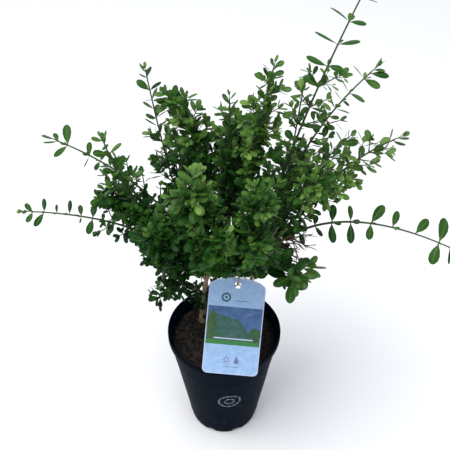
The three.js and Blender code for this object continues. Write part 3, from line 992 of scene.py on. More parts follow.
# %% Habits and shoots
# How each kind of shoot grows. Bare is the share of it without leaves. A step is the distance between the
# CAD's pairs, a twig is the longest side twig, the tip share is what is left of its length at the tip,
# and the spread is how far the leaves may stand from the axis. The pairs turn by 90 degrees from node to
# node, or lie flat at 0. The knee is where along it the shoot bows most. Face up is how much a leaf turns
# its face to the sky, and its angle and roll are how far it stands off the twig and rolls about its own
# length. Last come the length of a full leaf and the number of nodes to one step.
FACTS = "bare step twig tip_share spread turn knee face_up angle roll leaf nodes".split()
HABITS = {
    "whip": (0.3, 24, 6, 0, 40, 0, 0.25, 2.5, 72, 30, 17, 1),
    "plume": (0.3, 17, 32, 0.15, 38, 90, 0.5, 0.9, 52, 44, 13.5, 2),
    "bushy": (0.24, 20, 42, 0.36, 60, 90, 0.5, 0.8, 54, 48, 12.5, 3),
    "tuft": (0.38, 19, 32, 0.6, 42, 90, 0.5, 0.8, 58, 40, 13.5, 2),
}

# Stem, share of the stem at the fork, azimuth, reach, height, arch, habit
SHOOTS = {
    "left_low": ("left", 0.86, -179, 207, 365, 76, "whip"),
    "left_high": ("left", 0.98, 172, 175, 439, 90, "whip"),
    "left_mid": ("left", 0.95, -174, 118, 463, -92, "plume"),
    "left_side": ("left", 0.92, 174, 126, 378, 24, "bushy"),
    "left_foot": ("left", 0.5, 179, 66, 246, 26, "tuft"),
    "front_left_low": ("left", 0.9, -149, 85, 371, 16, "bushy"),
    "front_left": ("left", 0.98, -113, 72, 445, 4, "bushy"),
    "front_centre": ("middle", 0.88, -97, 82, 397, 10, "bushy"),
    "front_right": ("middle", 0.92, -70, 78, 383, 12, "bushy"),
    "front_right_high": ("middle", 0.97, -59, 72, 442, 0, "bushy"),
    "centre": ("middle", 1, 73, 20, 489, 8, "plume"),
    "right_crown": ("middle", 0.99, -7, 46, 543, 46, "plume"),
    "right_foot": ("middle", 0.95, -27, 90, 306, 18, "tuft"),
    "tall": ("right", 1, 12, 131, 609, 84, "whip"),
    "right_column": ("right", 0.98, 33, 97, 484, -130, "plume"),
    "right_high": ("right", 0.95, 24, 166, 494, 118, "whip"),
    "right_upper": ("right", 0.99, -4, 120, 464, 42, "plume"),
    "right_long": ("right", 0.92, 5, 175, 447, 64, "plume"),
    "right_fan": ("right", 0.88, -19, 107, 433, 84, "bushy"),
    "right_low": ("right", 0.96, -7, 246, 336, 128, "whip"),
    "left_back": ("back", 0.94, 137, 110, 485, -200, "plume"),
    "left_crown": ("back", 1, 147, 66, 485, 70, "plume"),
    "back_left_low": ("back", 0.89, 125, 112, 365, 20, "bushy"),
    "back_crown": ("back", 1, 74, 60, 438, 4, "bushy"),
    "back": ("back", 0.94, 84, 120, 383, 8, "bushy"),
    "back_right_low": ("back", 0.87, 45, 130, 365, 22, "bushy"),
}
print("shoots:", len(SHOOTS), "of", len(HABITS), "habits")

# %% Lines of the shoots
UP = np.array([0.0, 0, 1])


def stretch(line, low, high):
    """The part of a centre line between two of its shares."""
    return lambda share: line(low + (high - low) * np.asarray(share, float))


def lay_out(number, name, stem, fork, azimuth, reach, height, arch, habit):
    """All the facts of one shoot, with the lines of its bough and its leafy axis."""
    shoot = dict(zip(FACTS, HABITS[habit]))
    start = stem_lines[stem](fork)
    turn = math.radians(azimuth)
    tip = np.array([reach * math.cos(turn), reach * math.sin(turn), height])
    path = bow(start, start + (tip - start) * shoot["knee"] + UP * arch, tip)
    length = np.linalg.norm(np.diff(path(np.linspace(0, 1, 201)), axis=0), axis=1).sum()
    shoot.update(name=name, number=number, habit=habit, length=length, leaves=[], twigs=[])
    shoot["bough"] = stretch(path, 0, shoot["bare"])
    shoot["axis"] = stretch(path, shoot["bare"] + CLEARANCE / length, 1)
    shoot["steps"] = math.floor(length * (1 - shoot["bare"]) / shoot["step"] + 0.5)
    return shoot


shoots = [lay_out(number, name, *facts) for number, (name, facts) in enumerate(SHOOTS.items())]
shoot_named = {shoot["name"]: shoot for shoot in shoots}
print("total length of the shoots in m:", round(sum(shoot["length"] for shoot in shoots) * MM, 2))

# %% [markdown]
# ## Bark
#
# Boxwood bark is pale tan to grey on the oldest wood, and fine ridges run along it. Younger wood is olive
# and smoother. The ridges are real relief here: the skin of each limb moves in and out with a noise that
# is stretched along the limb, and small collars stand where old leaf pairs have dropped. The colour then
# gets streaks of the same kind from a noise that is squeezed sideways. Ridges are about 0.6 mm apart.

# %% Bark materials
STREAK_SQUEEZE = (1, 1, 0.16)


def bark(name, dark, light, ridge=0.7, depth=0.25):
    """Dull bark with streaks along the limb, a given number of millimetres apart."""
    tints, spread, bump, look = (dark, light), (0.35, 0.65), (0.7, depth), {"Roughness": 0.78}
    return flecked(name, tints, ridge * 2, spread, bump, look, detail=5, breakup=0.6, squeeze=STREAK_SQUEEZE)


old_bark = bark("old boxwood bark", "#6f5a41", "#b7a07c")
young_bark = bark("young boxwood bark", "#5f5a35", "#98895a", 0.5, 0.12)
green_bark = bark("green boxwood twig", "#2c3d22", "#4b5f33", 0.5, 0.06)
print("bark materials:", old_bark.name, "and", young_bark.name, "and", green_bark.name)

# %% Bark of the stems
STEM_FLARE = 0.8
STEM_SUNK = 3
STEM_RIDGES, STEM_COLLARS = 0.28, 7
COLLAR_RISE, COLLAR_SHARPNESS = 0.16, 0.006
RIDGES_ROUND, RIDGES_ALONG, NEXT_LIMB = 2.2, 6, 3.7


def mixed(pair, share):
    """A value part of the way from the first of a pair to the second."""
    return pair[0] + (pair[1] - pair[0]) * share


def ridges(key, ridge, collars):
    """How far a limb's skin stands out, as a share of its radius, along it and round it."""

    def at(along, turn):
        across, up = math.cos(turn) * RIDGES_ROUND, math.sin(turn) * RIDGES_ROUND
        place = Vector((across, up, along * RIDGES_ALONG + key * NEXT_LIMB))
        collar = COLLAR_RISE * math.exp(-(((along * collars) % 1 - 0.5) ** 2) / COLLAR_SHARPNESS)
        return 1 + ridge * noise.noise(place) + collar

    return at


wood = Heap()
for key, (name, (foot, fork, radii)) in enumerate(STEMS.items()):
    shares = np.linspace(0, 1, 70)
    swells = [mixed(radii, share) * (1 + STEM_FLARE * math.exp(-9 * share)) for share in shares]
    line = stem_lines[name](shares)
    line[0, 2] -= STEM_SUNK
    wood.put(*tube(line, swells, 16, ridges(key, STEM_RIDGES, STEM_COLLARS)))
stem_wood = wood.build("stem_bark", [old_bark])
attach(stem_wood, "root")
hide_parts(*[f"stem_{name}" for name in STEMS])
print("points on the stems:", len(stem_wood.data.vertices))

# %% Bark of the boughs
BOUGH_RADII = (1.9, 1.35)
BOUGH_RIDGES, BOUGH_COLLARS = 0.2, 5
FIRST_BOUGH_KEY = 20

wood = Heap()
for shoot in shoots:
    shares = np.linspace(0, 1, 26)
    skin = ridges(shoot["number"] + FIRST_BOUGH_KEY, BOUGH_RIDGES, BOUGH_COLLARS)
    wood.put(*tube(shoot["bough"](shares), [mixed(BOUGH_RADII, share) for share in shares], 12, skin))
bough_wood = wood.build("bough_bark", [young_bark])
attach(bough_wood, "root")
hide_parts(*[f"bough_{shoot['name']}" for shoot in shoots])
print("points on the boughs:", len(bough_wood.data.vertices))

# %% [markdown]
# ## Each shoot keeps to its own space
#
# Leaves grow towards light and away from each other, so every shoot fills the space nearest to its own
# axis and leaves the rest to its neighbours, apart from a narrow strip where their leaves mingle. That
# rule is also what keeps the crown's outline and the gaps of sky between the long shoots. It needs only
# distances from a point to the straight parts of the axes, all worked out at once.

# %% Straight parts of the wood
AXIS_PARTS, STEM_PARTS, BOUGH_PARTS = 12, 12, 4


def straight_parts(line, count):
    """The starts and the ends of the straight parts that a centre line is cut into."""
    points = line(np.linspace(0, 1, count + 1))
    return points[:-1], points[1:]


axis_parts = [straight_parts(shoot["axis"], AXIS_PARTS) for shoot in shoots]
axis_starts, axis_ends = map(np.concatenate, zip(*axis_parts))
limbs = [(stem_lines[name], radii, STEM_PARTS) for name, (_, _, radii) in STEMS.items()]
limbs += [(shoot["bough"], BOUGH_RADII, BOUGH_PARTS) for shoot in shoots]
limb_parts = [straight_parts(line, count) for line, _, count in limbs]
limb_starts, limb_ends = map(np.concatenate, zip(*limb_parts))
limb_radii = np.array([mixed(radii, i / count) for _, radii, count in limbs for i in range(count)])
print("parts to keep clear of:", len(axis_starts) + len(limb_starts))

# %% Room to grow
MINGLE = 3
ARCH_SIDE, ARCH_ABOVE, ARCH_SLOPE = 4, 5, 0.98


def gaps(points, starts, ends):
    """How far each point lies from each straight part."""
    runs = ends - starts
    offsets = points[:, None] - starts
    shares = np.clip((offsets * runs).sum(-1) / (runs * runs).sum(-1), 0, 1)
    return np.linalg.norm(offsets - shares[..., None] * runs, axis=-1)


def over_label(points):
    """Whether points lie in the opening that the leaves keep over the label."""
    x, y, z = points.T
    aside = abs(x - (LABEL_HEAD[0] + LABEL_FOOT[0]) / 2) - LABEL_WIDTH / 2
    roof = LABEL_HEAD[2] + ARCH_ABOVE + ARCH_SLOPE * np.maximum(LABEL_HEAD[1] - y, 0)
    return (aside < ARCH_SIDE) & (z < roof) & (y < 0)


def fits(shoot, points, room=0.0):
    """Whether points keep to a shoot's own space, clear of all the wood."""
    if over_label(points).any():
        return False
    far = gaps(points, axis_starts, axis_ends).reshape(len(points), -1, AXIS_PARTS).min(-1)
    own = far[:, shoot["number"]].copy()
    far[:, shoot["number"]] = np.inf
    if (own > shoot["spread"]).any() or (far.min(1) - own < room - MINGLE).any():
        return False
    return bool((gaps(points, limb_starts, limb_ends) > limb_radii + room + CLEARANCE * 2).all())


halfway = shoots[0]["axis"](np.array([0.5]))
print("a point halfway up the first shoot fits:", fits(shoots[0], halfway))

# %% [markdown]
# ## How a shoot grows
#
# Boxwood sets its leaves in opposite pairs, and each pair stands a quarter turn from the last. Twigs
# sprout in the same way, from just above a leaf. So one routine grows everything: it walks along an axis,
# sets a pair at each node, and lets a twig grow where there is room. Twigs grow finer twigs by the same
# routine, and stop after the second order. The CAD model has only the larger twigs, with fewer and larger
# leaves.

# %% Ways of single shoots
# What a shoot does unless it has a way of its own. It carries twigs all along, loses no leaves, hasn't
# twisted, has leaves as light as its place tells, and as a whip has nodes between the CAD's up to half its
# length.
ORDINARY = {"twiggy": None, "lost": 0, "twist": 0, "tones_lighter": 0, "thick_until": 0.5}

# Twiggy says from where to where a shoot carries short twigs, and how long they are. Lost is the share of
# leaves that have dropped. Twist, in degrees, is how far a whip has turned its flat pairs to the light.
# The last value is how many tones lighter a shoot's leaves are than their place would tell: the yellower
# green of younger leaves, and on right_foot painted light against the shade of the crown above it.
OWN_WAYS = {
    "left_low": dict(leaf=18, nodes=2, lost=0.07, twist=-42, thick_until=0.95, twiggy=(0.1, 0.55, 14)),
    "left_high": dict(leaf=17, nodes=2, lost=0.07, twist=-32, thick_until=0.8, twiggy=(0.1, 0.6, 16)),
    "left_mid": dict(leaf=14.5, nodes=3, tones_lighter=0.4),
    "left_side": dict(leaf=14.5, nodes=4),
    "left_foot": dict(leaf=15.5),
    "left_crown": dict(leaf=15),
    "left_back": dict(leaf=15, nodes=3),
    "front_left_low": dict(leaf=16),
    "front_left": dict(leaf=16, tones_lighter=0.4),
    "front_centre": dict(leaf=15.5, tones_lighter=0.5),
    "front_right": dict(leaf=14.5),
    "tall": dict(leaf=22, lost=0.12, twist=80, twiggy=(0.38, 0.66, 16)),
    # Its lighter tones are painted light against the shade of the crown above it.
    "right_foot": dict(leaf=24, nodes=1, tones_lighter=1.0, twiggy=(0, 1, 17)),
    "right_high": dict(leaf=19, nodes=2, lost=0.07, twist=65, thick_until=0.8, twiggy=(0.15, 0.62, 16)),
    "right_long": dict(leaf=17, nodes=1, lost=0.36, tones_lighter=1.0),
    "right_upper": dict(leaf=15, nodes=1, lost=0.36),
    "right_fan": dict(leaf=14, nodes=2, lost=0.3),
    "right_low": dict(leaf=25, lost=0.2, twist=42),
    "back_right_low": dict(nodes=2),
}
for shoot in shoots:
    shoot.update({**ORDINARY, **OWN_WAYS.get(shoot["name"], {})})
print("shoots with ways of their own:", len(OWN_WAYS))

# %% One leaf
# The two widest points of a leaf and its tip, as shares of its length along it and beside it
LEAF_REACH = ((0.55, 0.24), (0.55, -0.24), (1.0, 0.0))


def unit(vector):
    """The same direction, with a length of 1."""
    return vector / np.linalg.norm(vector)


def sideways(heading, turn):
    """The direction square to a heading, at a turn in degrees about it from its upper side."""
    upper = UP - heading * heading[2]
    if np.linalg.norm(upper) < 0.05:
        upper = np.array([0.0, -1, 0]) + heading * heading[1]
    upper = unit(upper)
    turn = math.radians(turn)
    return upper * math.cos(turn) + np.cross(heading, upper) * math.sin(turn)


def lean(heading, out, angle):
    """A heading leaned outwards by an angle in degrees."""
    angle = math.radians(angle)
    return heading * math.cos(angle) + out * math.sin(angle)


def leaf_at(face_up, point, heading, turn, angle, length, roll):
    """One leaf: its root, the way it runs, the way it faces and its length."""
    out = sideways(heading, turn)
    along = lean(heading, out, angle)
    face = heading * math.sin(math.radians(angle)) - out * math.cos(math.radians(angle)) + UP * face_up
    face = unit(face - along * (face @ along))
    roll = math.radians(roll)
    face = face * math.cos(roll) + np.cross(along, face) * math.sin(roll)
    return point, along, face, length


def leaf_corners(leaf):
    """The points of a leaf that need room."""
    point, along, face, length = leaf
    beside = np.cross(along, face)
    return np.array([point + along * far * length + beside * wide * length for far, wide in LEAF_REACH])


flat_leaf = leaf_at(1, np.zeros(3), UP, 0, 50, 10, 0)
print("tip of a leaf 10 mm long, in mm:", leaf_corners(flat_leaf)[2].round(1))

# %% [markdown]
# ## Light and age
#
# A leaf's green tells its age, and here its tone also paints the light and shade of the crown. The youngest
# and brightest leaves are at the outside and the top of the crown, and the old ones deep inside are dark.
# So each spray gets a tone from how far out its place lies, with a little chance in it: a darker green as
# painted shade inside, a lighter one as painted light outside and on top. A few shoots get a lighter tone
# than their place: some look younger, and the low right foot is painted lighter against the shade of the
# crown above it.

# %% Light on the crown
CROWN_MIDDLE, CROWN_HALF = np.array([10, 20, 335]), np.array([150, 100, 190])
DARKEST, OUTWARD = 0.29, 0.62

# How much brighter the crown gets along x, y and z: the gain, from where, and over how far
SKY_SIDE = ((0.2, 0, 150), (0.2, 40, 100), (0.68, 380, 200))


def light_at(point):
    """How much of the sky a point sees: 0 deep inside the crown, 1 at its outside and at its top."""
    away = np.linalg.norm((point - CROWN_MIDDLE) / CROWN_HALF)
    sky_side = sum(gain * (place - start) / reach for place, (gain, start, reach) in zip(point, SKY_SIDE))
    return float(np.clip(DARKEST + OUTWARD * away + sky_side, 0, 1))


print("light at the tip of the tallest shoot:", round(light_at(shoot_named["tall"]["axis"](1)), 2))

# %% Pairs of leaves
SMALLER_TRY = 0.65
LEAF_WOBBLE, LEAF_TILT = (-16, 16), (-9, 9)
LEAF_SIZES, WHIP_LEAF_SIZES = (0.85, 1.12), (0.74, 1.12)


def leaf_pair(shoot, point, heading, turn, angle, size, spray, chance):
    """A pair of opposite leaves. One that has no room is tried smaller, and then left out."""
    for half_turn in (0, 180):
        wobble, roll, tilt = chance(*LEAF_WOBBLE), chance(-shoot["roll"], shoot["roll"]), chance(*LEAF_TILT)
        full = size * chance(*LEAF_SIZES)
        if shoot["habit"] == "whip":
            tilt, full = tilt * 2, full * chance(*WHIP_LEAF_SIZES)
        if shoot["lost"] and chance(0, 1) < shoot["lost"]:
            continue
        turned_by, leaned = turn + half_turn + wobble, angle + tilt
        for length in (full, size * SMALLER_TRY):
            leaf = leaf_at(shoot["face_up"], point, heading, turned_by, leaned, length, roll)
            if fits(shoot, leaf_corners(leaf)):
                shoot["leaves"].append((*leaf, spray + chance(-0.5, 0.5), chance(0, 1)))
                break


print("lengths a leaf is tried at, as shares:", (1, SMALLER_TRY))

# %% Side twigs
TWIG_ANGLE = 50
TWIG_LIFT = 0.15
TWIG_TRIES = (1, 0.8, 0.6, 0.42)
TWIG_PROBES = np.array([[0.4], [0.7], [1]])
TWIG_TAPER = (0.62, 0.36)
SHORTEST_TWIG = {1: 13, 2: 8}
SHORTEST_FORKED = 22
FORKS_BETWEEN = (0.15, 0.85)

# What is left on a twig of the second order: a range for its length, and shares of the radius and of a leaf
FINER_LENGTH, FINER_RADIUS, FINER_LEAF = (0.4, 0.62), 0.6, 0.86
LEAF_SPACING = 7.8
TIP_ANGLE = 34

# The pairs at a twig's end: the angle, the share of a full leaf, and how many tones younger they are
TWIG_END_PAIRS = ((TIP_ANGLE, 0.85, 0.9), (TIP_ANGLE - 12, 0.55, 1.3))

# How many tones of green there are between the darkest and the brightest place, on an axis and on a twig
AXIS_TONES, TWIG_TONES = 4.2, 4.6


def longest_twig(shoot, point, way, reach, radius, order):
    """The longest of a few lengths that leaves a twig room, or nothing."""
    for length in [share * reach for share in TWIG_TRIES]:
        if length >= SHORTEST_TWIG[order] and fits(shoot, point + way * length * TWIG_PROBES, radius):
            return length
    return None


def side_twig(shoot, point, heading, turn, reach, radius, size, order, chance):
    """A side twig with its leaves and finer twigs."""
    way = unit(lean(heading, sideways(heading, turn), TWIG_ANGLE) + UP * TWIG_LIFT)
    length = longest_twig(shoot, point, way, reach, radius, order)
    if not length:
        return
    end = point + way * length
    line = bow(point, (point + end) / 2 + UP * length * chance(-0.05, 0.09), end)
    shoot["twigs"].append((line, (radius * TWIG_TAPER[0], radius * TWIG_TAPER[1])))
    # The tone paints light and shade: a twig whose end sees more sky gets lighter greens, one deep inside
    # darker ones.
    spray = TWIG_TONES * light_at(end) + chance(-0.9, 0.9) + shoot["tones_lighter"]
    nodes = max(1, round(length / LEAF_SPACING))
    for node in range(nodes):
        share = (node + 0.6) / (nodes + 0.1)
        place, quarter, grown_size = line(share), turn + 90 * (node + 1), size * (0.82 + 0.18 * share)
        leaf_pair(shoot, place, way, quarter, shoot["angle"], grown_size, spray - 0.7 + share, chance)
        forks = order == 1 and node % 2 == 0 and FORKS_BETWEEN[0] < share < FORKS_BETWEEN[1]
        if forks and length > SHORTEST_FORKED:
            finer_radius, finer_leaf = radius * FINER_RADIUS, size * FINER_LEAF
            for finer_turn in (quarter, quarter + 180):
                finer = length * chance(*FINER_LENGTH) * (1.15 - 0.5 * share)
                side_twig(shoot, place, way, finer_turn, finer, finer_radius, finer_leaf, 2, chance)
    for pair, (angle, share, tones_lighter) in enumerate(TWIG_END_PAIRS):
        quarter = turn + 90 * nodes + 90 * pair
        leaf_pair(shoot, end, way, quarter, angle, size * share, spray + tones_lighter, chance)


print("lengths a twig is tried at, as shares:", TWIG_TRIES)

# %% Nodes of a shoot
AXIS_RADII = (1.8, 1.1)
WHIP_VIGOUR, OTHER_VIGOUR = (0.62, 1.12), (0.78, 1.08)
WHIP_TWIG_LEAF = 0.64
BUD_ANGLE, BUD_SHARE = 40, 0.42

# A twig here runs on a little further than the CAD's, whose end leaves are longer
RUN_ON = 5

# What is smaller at a node between two of the CAD's nodes: a whip's leaves and every twig
BETWEEN_LEAF, BETWEEN_TWIG = 0.7, 0.62


def node_twigs(shoot, node, offset, progress, point, heading, quarter):
    """A twig on each side of a node."""
    for side in (0, 1):
        keys = (shoot["number"], node, side, offset + 5) if offset else (shoot["number"], node, side)
        chance = dice(*keys)
        turn = quarter + side * 180 + chance(-18, 18)
        longest = shoot["twig"] * mixed((1, shoot["tip_share"]), progress)
        if shoot["twiggy"]:
            low, high, length = shoot["twiggy"]
            longest = length if low < progress < high else 0
        reach = (RUN_ON + longest * chance(0.75, 1.1)) * (BETWEEN_TWIG if offset else 1)
        leaf_size = shoot["leaf"] * (WHIP_TWIG_LEAF if shoot["habit"] == "whip" else 1)
        side_twig(shoot, point, heading, turn, reach, mixed(AXIS_RADII, progress), leaf_size, 1, chance)


def node_leaves(shoot, node, offset, progress, point, heading, quarter):
    """The pair of leaves on a node, and on a whip a pair of buds square to it."""
    chance = dice(shoot["number"], node, 7, offset + 5)
    # The tone paints light and shade: leaves where the axis sees more sky get lighter greens, leaves deep
    # inside darker ones.
    spray = AXIS_TONES * light_at(point) + shoot["tones_lighter"]
    vigour = mixed(OTHER_VIGOUR, progress)
    if shoot["habit"] == "whip":
        vigour = mixed(WHIP_VIGOUR, progress) * chance(0.86, 1.12) * (BETWEEN_LEAF if offset else 1)
        bud_size = shoot["leaf"] * BUD_SHARE
        leaf_pair(shoot, point, heading, quarter + 90, BUD_ANGLE, bud_size, spray + 1, chance)
    leaf_pair(shoot, point, heading, quarter, shoot["angle"], shoot["leaf"] * vigour, spray, chance)


print("a twig runs on by mm:", RUN_ON)

# %% Grow every shoot
LEADER = 8
LEADER_RADIUS = 0.4
TIP_CLEAR = 12
TIP_KEY = 99
TIP_TONE = 3.6

# The pairs at a tip: how far back from its end, the angle, and the share of a full leaf
TIP_PAIRS = ((10, 54, 0.95), (5, TIP_ANGLE, 0.8), (0.5, 16, 0.5))


def grow_tip(shoot):
    """The leader, which runs on past the axis, and the smaller leaves at its end."""
    tip, run = shoot["axis"](1), unit(shoot["axis"](1) - shoot["axis"](0.98))
    end = tip + run * LEADER
    chance = dice(shoot["number"], TIP_KEY, 0)
    shoot["twigs"].append((bow(tip - run * 3, tip + UP, end), (AXIS_RADII[1] * 0.8, LEADER_RADIUS)))
    for pair, (back, angle, share) in enumerate(TIP_PAIRS):
        turn = 90 + (shoot["steps"] + pair) * max(shoot["turn"], 50)
        leaf_pair(shoot, end - run * back, run, turn, angle, shoot["leaf"] * share, TIP_TONE + pair, chance)


def grow(shoot):
    """All the twigs and leaves of one shoot, node by node."""
    between = range(-((shoot["nodes"] - 1) // 2), shoot["nodes"] // 2 + 1)
    last = 1 - TIP_CLEAR / shoot["length"]
    if shoot["habit"] == "whip":
        last = min(last, shoot["thick_until"])
    for node in range(shoot["steps"]):
        for offset in between:
            progress = (node + 0.5 + offset / shoot["nodes"]) / shoot["steps"]
            if offset and progress > last:
                continue
            point = shoot["axis"](progress)
            heading = unit(shoot["axis"](min(progress + 0.01, 1)) - shoot["axis"](progress - 0.01))
            quarter = 90 + shoot["twist"] + (node + offset) * shoot["turn"]
            node_twigs(shoot, node, offset, progress, point, heading, quarter)
            node_leaves(shoot, node, offset, progress, point, heading, quarter)
    grow_tip(shoot)


for shoot in shoots:
    grow(shoot)
leaf_count = sum(len(shoot["leaves"]) for shoot in shoots)
print("twigs:", sum(len(shoot["twigs"]) for shoot in shoots), "leaves:", leaf_count)

# %% [markdown]
# ## Leaves
#
# A boxwood leaf is a small, thick, leathery spoon: narrow at its short stalk, widest beyond its middle,
# with a blunt tip. It is deep green and glossy above, paler and dull below, with a pale midrib. One leaf
# is laid out as a few rows of points, four in a row so that the midrib is a narrow strip of its own, and
# a plain sheet closes its underside. Every leaf is this layout, moved, turned, widened and curled by a
# few numbers of its own.

# %% Leaf layout
LEAF_ROWS = [0.0, 0.13, 0.34, 0.58, 0.8, 0.94, 1.0]
HALF_WIDTHS = [0.02, 0.04, 0.15, 0.215, 0.2, 0.125, 0.035]
RIB_WIDTHS = [0.018, 0.022, 0.02, 0.016, 0.012, 0.008, 0.005]
DOME = 0.05
TOP, RIB, UNDERSIDE = 0, 1, 2


def leaf_layout():
    """The points of a leaf as shares of its length: along it, beside it, and how far it rises and curls."""
    top, under = [], []
    for row, half_width, rib in zip(LEAF_ROWS, HALF_WIDTHS, RIB_WIDTHS):
        rise = DOME * half_width / 0.25
        for wide in (-half_width, -rib, rib, half_width):
            top.append((row, wide, rise if abs(wide) < half_width else 0, row**2))
        under += [(row, -half_width, 0, row**2), (row, half_width, 0, row**2)]
    return np.array(top + under)


def leaf_faces():
    """The faces of a leaf, and of which kind each is."""
    faces, kinds = [], []
    for row in range(len(LEAF_ROWS) - 1):
        for strip, kind in enumerate((TOP, RIB, TOP)):
            a = row * 4 + strip
            faces.append((a, a + 1, a + 5, a + 4))
            kinds.append(kind)
        b = len(LEAF_ROWS) * 4 + row * 2
        faces.append((b, b + 2, b + 3, b + 1))
        kinds.append(UNDERSIDE)
    return np.array(faces), np.array(kinds)


layout = leaf_layout()
layout_faces, layout_kinds = leaf_faces()
print("one leaf:", len(layout), "points,", len(layout_faces), "faces")

# %% [markdown]
# ## Leaf colours
#
# New leaves at the tips are a light yellow-green, leaves of this year are mid green, and old leaves
# inside the crown are a deep blue-green. The colours are dealt out by spray, so that a twig's leaves
# match, as they do on the plant. A spray's tone also follows how much sky its place sees, so the deep
# greens inside are partly painted shade and the light greens outside and on top partly painted light.
# The cuticle is a wax: the gloss is broad, and a fine pebbling breaks it up. Leaf wax has an IOR of about
# 1.45. The pebbles are drawn at 0.8 mm, coarser than the real cells, so that they show.

# %% Leaf materials
# From darkest to lightest: each tone is the leaf's age together with painted shade inside the crown and
# painted light at its outside and top.
LEAF_GREENS = {
    "old inner leaf": "#08290b",
    "old leaf": "#0b310d",
    "mature leaf": "#113a10",
    "outer leaf": "#1c4613",
    "new leaf": "#2d551b",
    "young tip leaf": "#456a2a",
    "tender tip leaf": "#62833c",
}

# For the top, the rib and the underside: what the green pales towards, how far, the roughness and the depth
LEAF_SIDES = {
    "": ("#ffffff", 0, 0.38, 0.1),
    " midrib": ("#a9c06a", 0.3, 0.5, 0.05),
    " underside": ("#8fae78", 0.34, 0.7, 0.05),
}
WAX_IOR = 1.45
WAX_PATCH, WAX_PEBBLE = 12, 0.8


def leaf_skin(name, code, roughness, depth):
    """Leathery leaf under a wax: an even colour, with its gloss broken up by patches and pebbles."""
    material, tree, place = new_material(name)
    patches = add_node(tree, "TexNoise", {}, {"Vector": place, "Scale": per_size(WAX_PATCH)})
    pebbles = add_node(tree, "TexNoise", {}, {"Vector": place, "Scale": per_size(WAX_PEBBLE)})
    gloss = {"Value": patches, "From Min": 0.3, "From Max": 0.7}
    gloss.update({"To Min": roughness - 0.07, "To Max": roughness + 0.1})
    look = {
        "Base Color": colour(code),
        "Roughness": add_node(tree, "MapRange", {}, gloss),
        "IOR": WAX_IOR,
        "Specular IOR Level": 0.16,
        "Normal": add_node(tree, "Bump", {}, {"Height": pebbles, "Strength": 0.3, "Distance": depth * MM}),
    }
    finish_material(tree, look)
    return material


def paler(code, other, share):
    """A hex colour part of the way to another."""
    pair = [[int(c[i : i + 2], 16) for i in (1, 3, 5)] for c in (code, other)]
    return "#" + "".join(f"{round(a + (b - a) * share):02x}" for a, b in zip(*pair))


leaf_materials = []
for side, (other, share, roughness, depth) in LEAF_SIDES.items():
    for name, code in LEAF_GREENS.items():
        leaf_materials.append(leaf_skin(name + side, paler(code, other, share), roughness, depth))
print("leaf materials:", len(leaf_materials))

# %% Meshes of leaves and twigs
THIN_AXIS = (1.5, 0.75)
THINNEST_TWIG = 0.32
LEAF_WIDENS = 0.3
DROOP_START, DROOP_RANGE = 0.05, 0.2


def build_leaves(name, leaves):
    """One mesh with all the leaves of a mass. Each leaf's last number gives its width and how it droops."""
    roots, alongs, facings, lengths, sprays, whims = map(np.array, zip(*leaves))
    far, wide, rise, curl = layout.T
    widths = (1.0 + LEAF_WIDENS * whims)[:, None] * wide
    droop = (DROOP_START - DROOP_RANGE * ((whims * 7.3) % 1))[:, None] * curl
    offsets = far[None, :, None] * alongs[:, None] + widths[..., None] * np.cross(alongs, facings)[:, None]
    offsets = offsets + (rise + droop)[..., None] * facings[:, None]
    points = (roots[:, None] + lengths[:, None, None] * offsets).reshape(-1, 3)
    corners = (layout_faces[None] + len(layout) * np.arange(len(leaves))[:, None, None]).reshape(-1, 4)
    tones = np.clip(np.round(sprays), 0, len(LEAF_GREENS) - 1).astype(int)
    finishes = (layout_kinds[None] * len(LEAF_GREENS) + tones[:, None]).reshape(-1)
    return object_from(name, points, corners, leaf_materials, finishes)


def put_twig(heap, line, radii, count, sides):
    """Skins a twig whose radius goes evenly from one value to another."""
    shares = np.linspace(0, 1, count)
    heap.put(*tube(line(shares), [max(mixed(radii, share), THINNEST_TWIG) for share in shares], sides))


def build_twigs(name, shoot):
    """One mesh with a shoot's leafy axis and all its twigs."""
    heap = Heap()
    put_twig(heap, shoot["axis"], THIN_AXIS, 24, 8)
    for line, radii in shoot["twigs"]:
        put_twig(heap, line, radii, 5, 5)
    return heap.build(name, [green_bark])


print("tones of leaf:", len(LEAF_GREENS))

# %% Build twigs and leaves
triangles = 0
for shoot in shoots:
    name = shoot["name"]
    for piece in (build_twigs(f"twigs_{name}", shoot), build_leaves(f"leaves_{name}", shoot["leaves"])):
        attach(piece, "root")
        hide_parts(f"foliage_{name}")
        triangles += sum(len(face.vertices) - 2 for face in piece.data.polygons)
print("triangles in twigs and leaves:", triangles)

# %% [markdown]
# ## Sprouts on the stems
#
# Short soft sprouts stand on the old wood just above the soil. They get little light, so their few small
# leaves get only the darkest greens, as painted shade. Each sprout is a bowed twig with three pairs of
# leaves, and a leaf that would reach the label, the wall of the pot or the soil is left out.

# %% Room for a sprout
SPROUT_ROOM = 4
SPROUT_LIFT = 3


def has_room(points):
    """Whether points keep clear of the label's opening, the soil and the wall of the pot."""
    away = np.hypot(points[:, 0], points[:, 1])
    at_wall = (points[:, 2] < POT_HEIGHT + SPROUT_ROOM) & (away > SOIL_EDGE - SPROUT_ROOM)
    in_soil = points[:, 2] < SOIL_TOP + SPROUT_LIFT
    return not (over_label(points) | at_wall | in_soil).any()


print("room above the middle of the pot:", has_room(np.array([[0, 20, POT_HEIGHT + 10]])))

# %% Stem sprouts
SPROUTS = {"left": 15, "middle": 8, "right": 7}
SPROUT_RADII = (0.7, 0.4)

# The pairs on a sprout: the share of its length, the angle, and the length of a leaf
SPROUT_PAIRS = ((0.45, 62, 10), (0.75, 50, 11), (1.0, 30, 9))


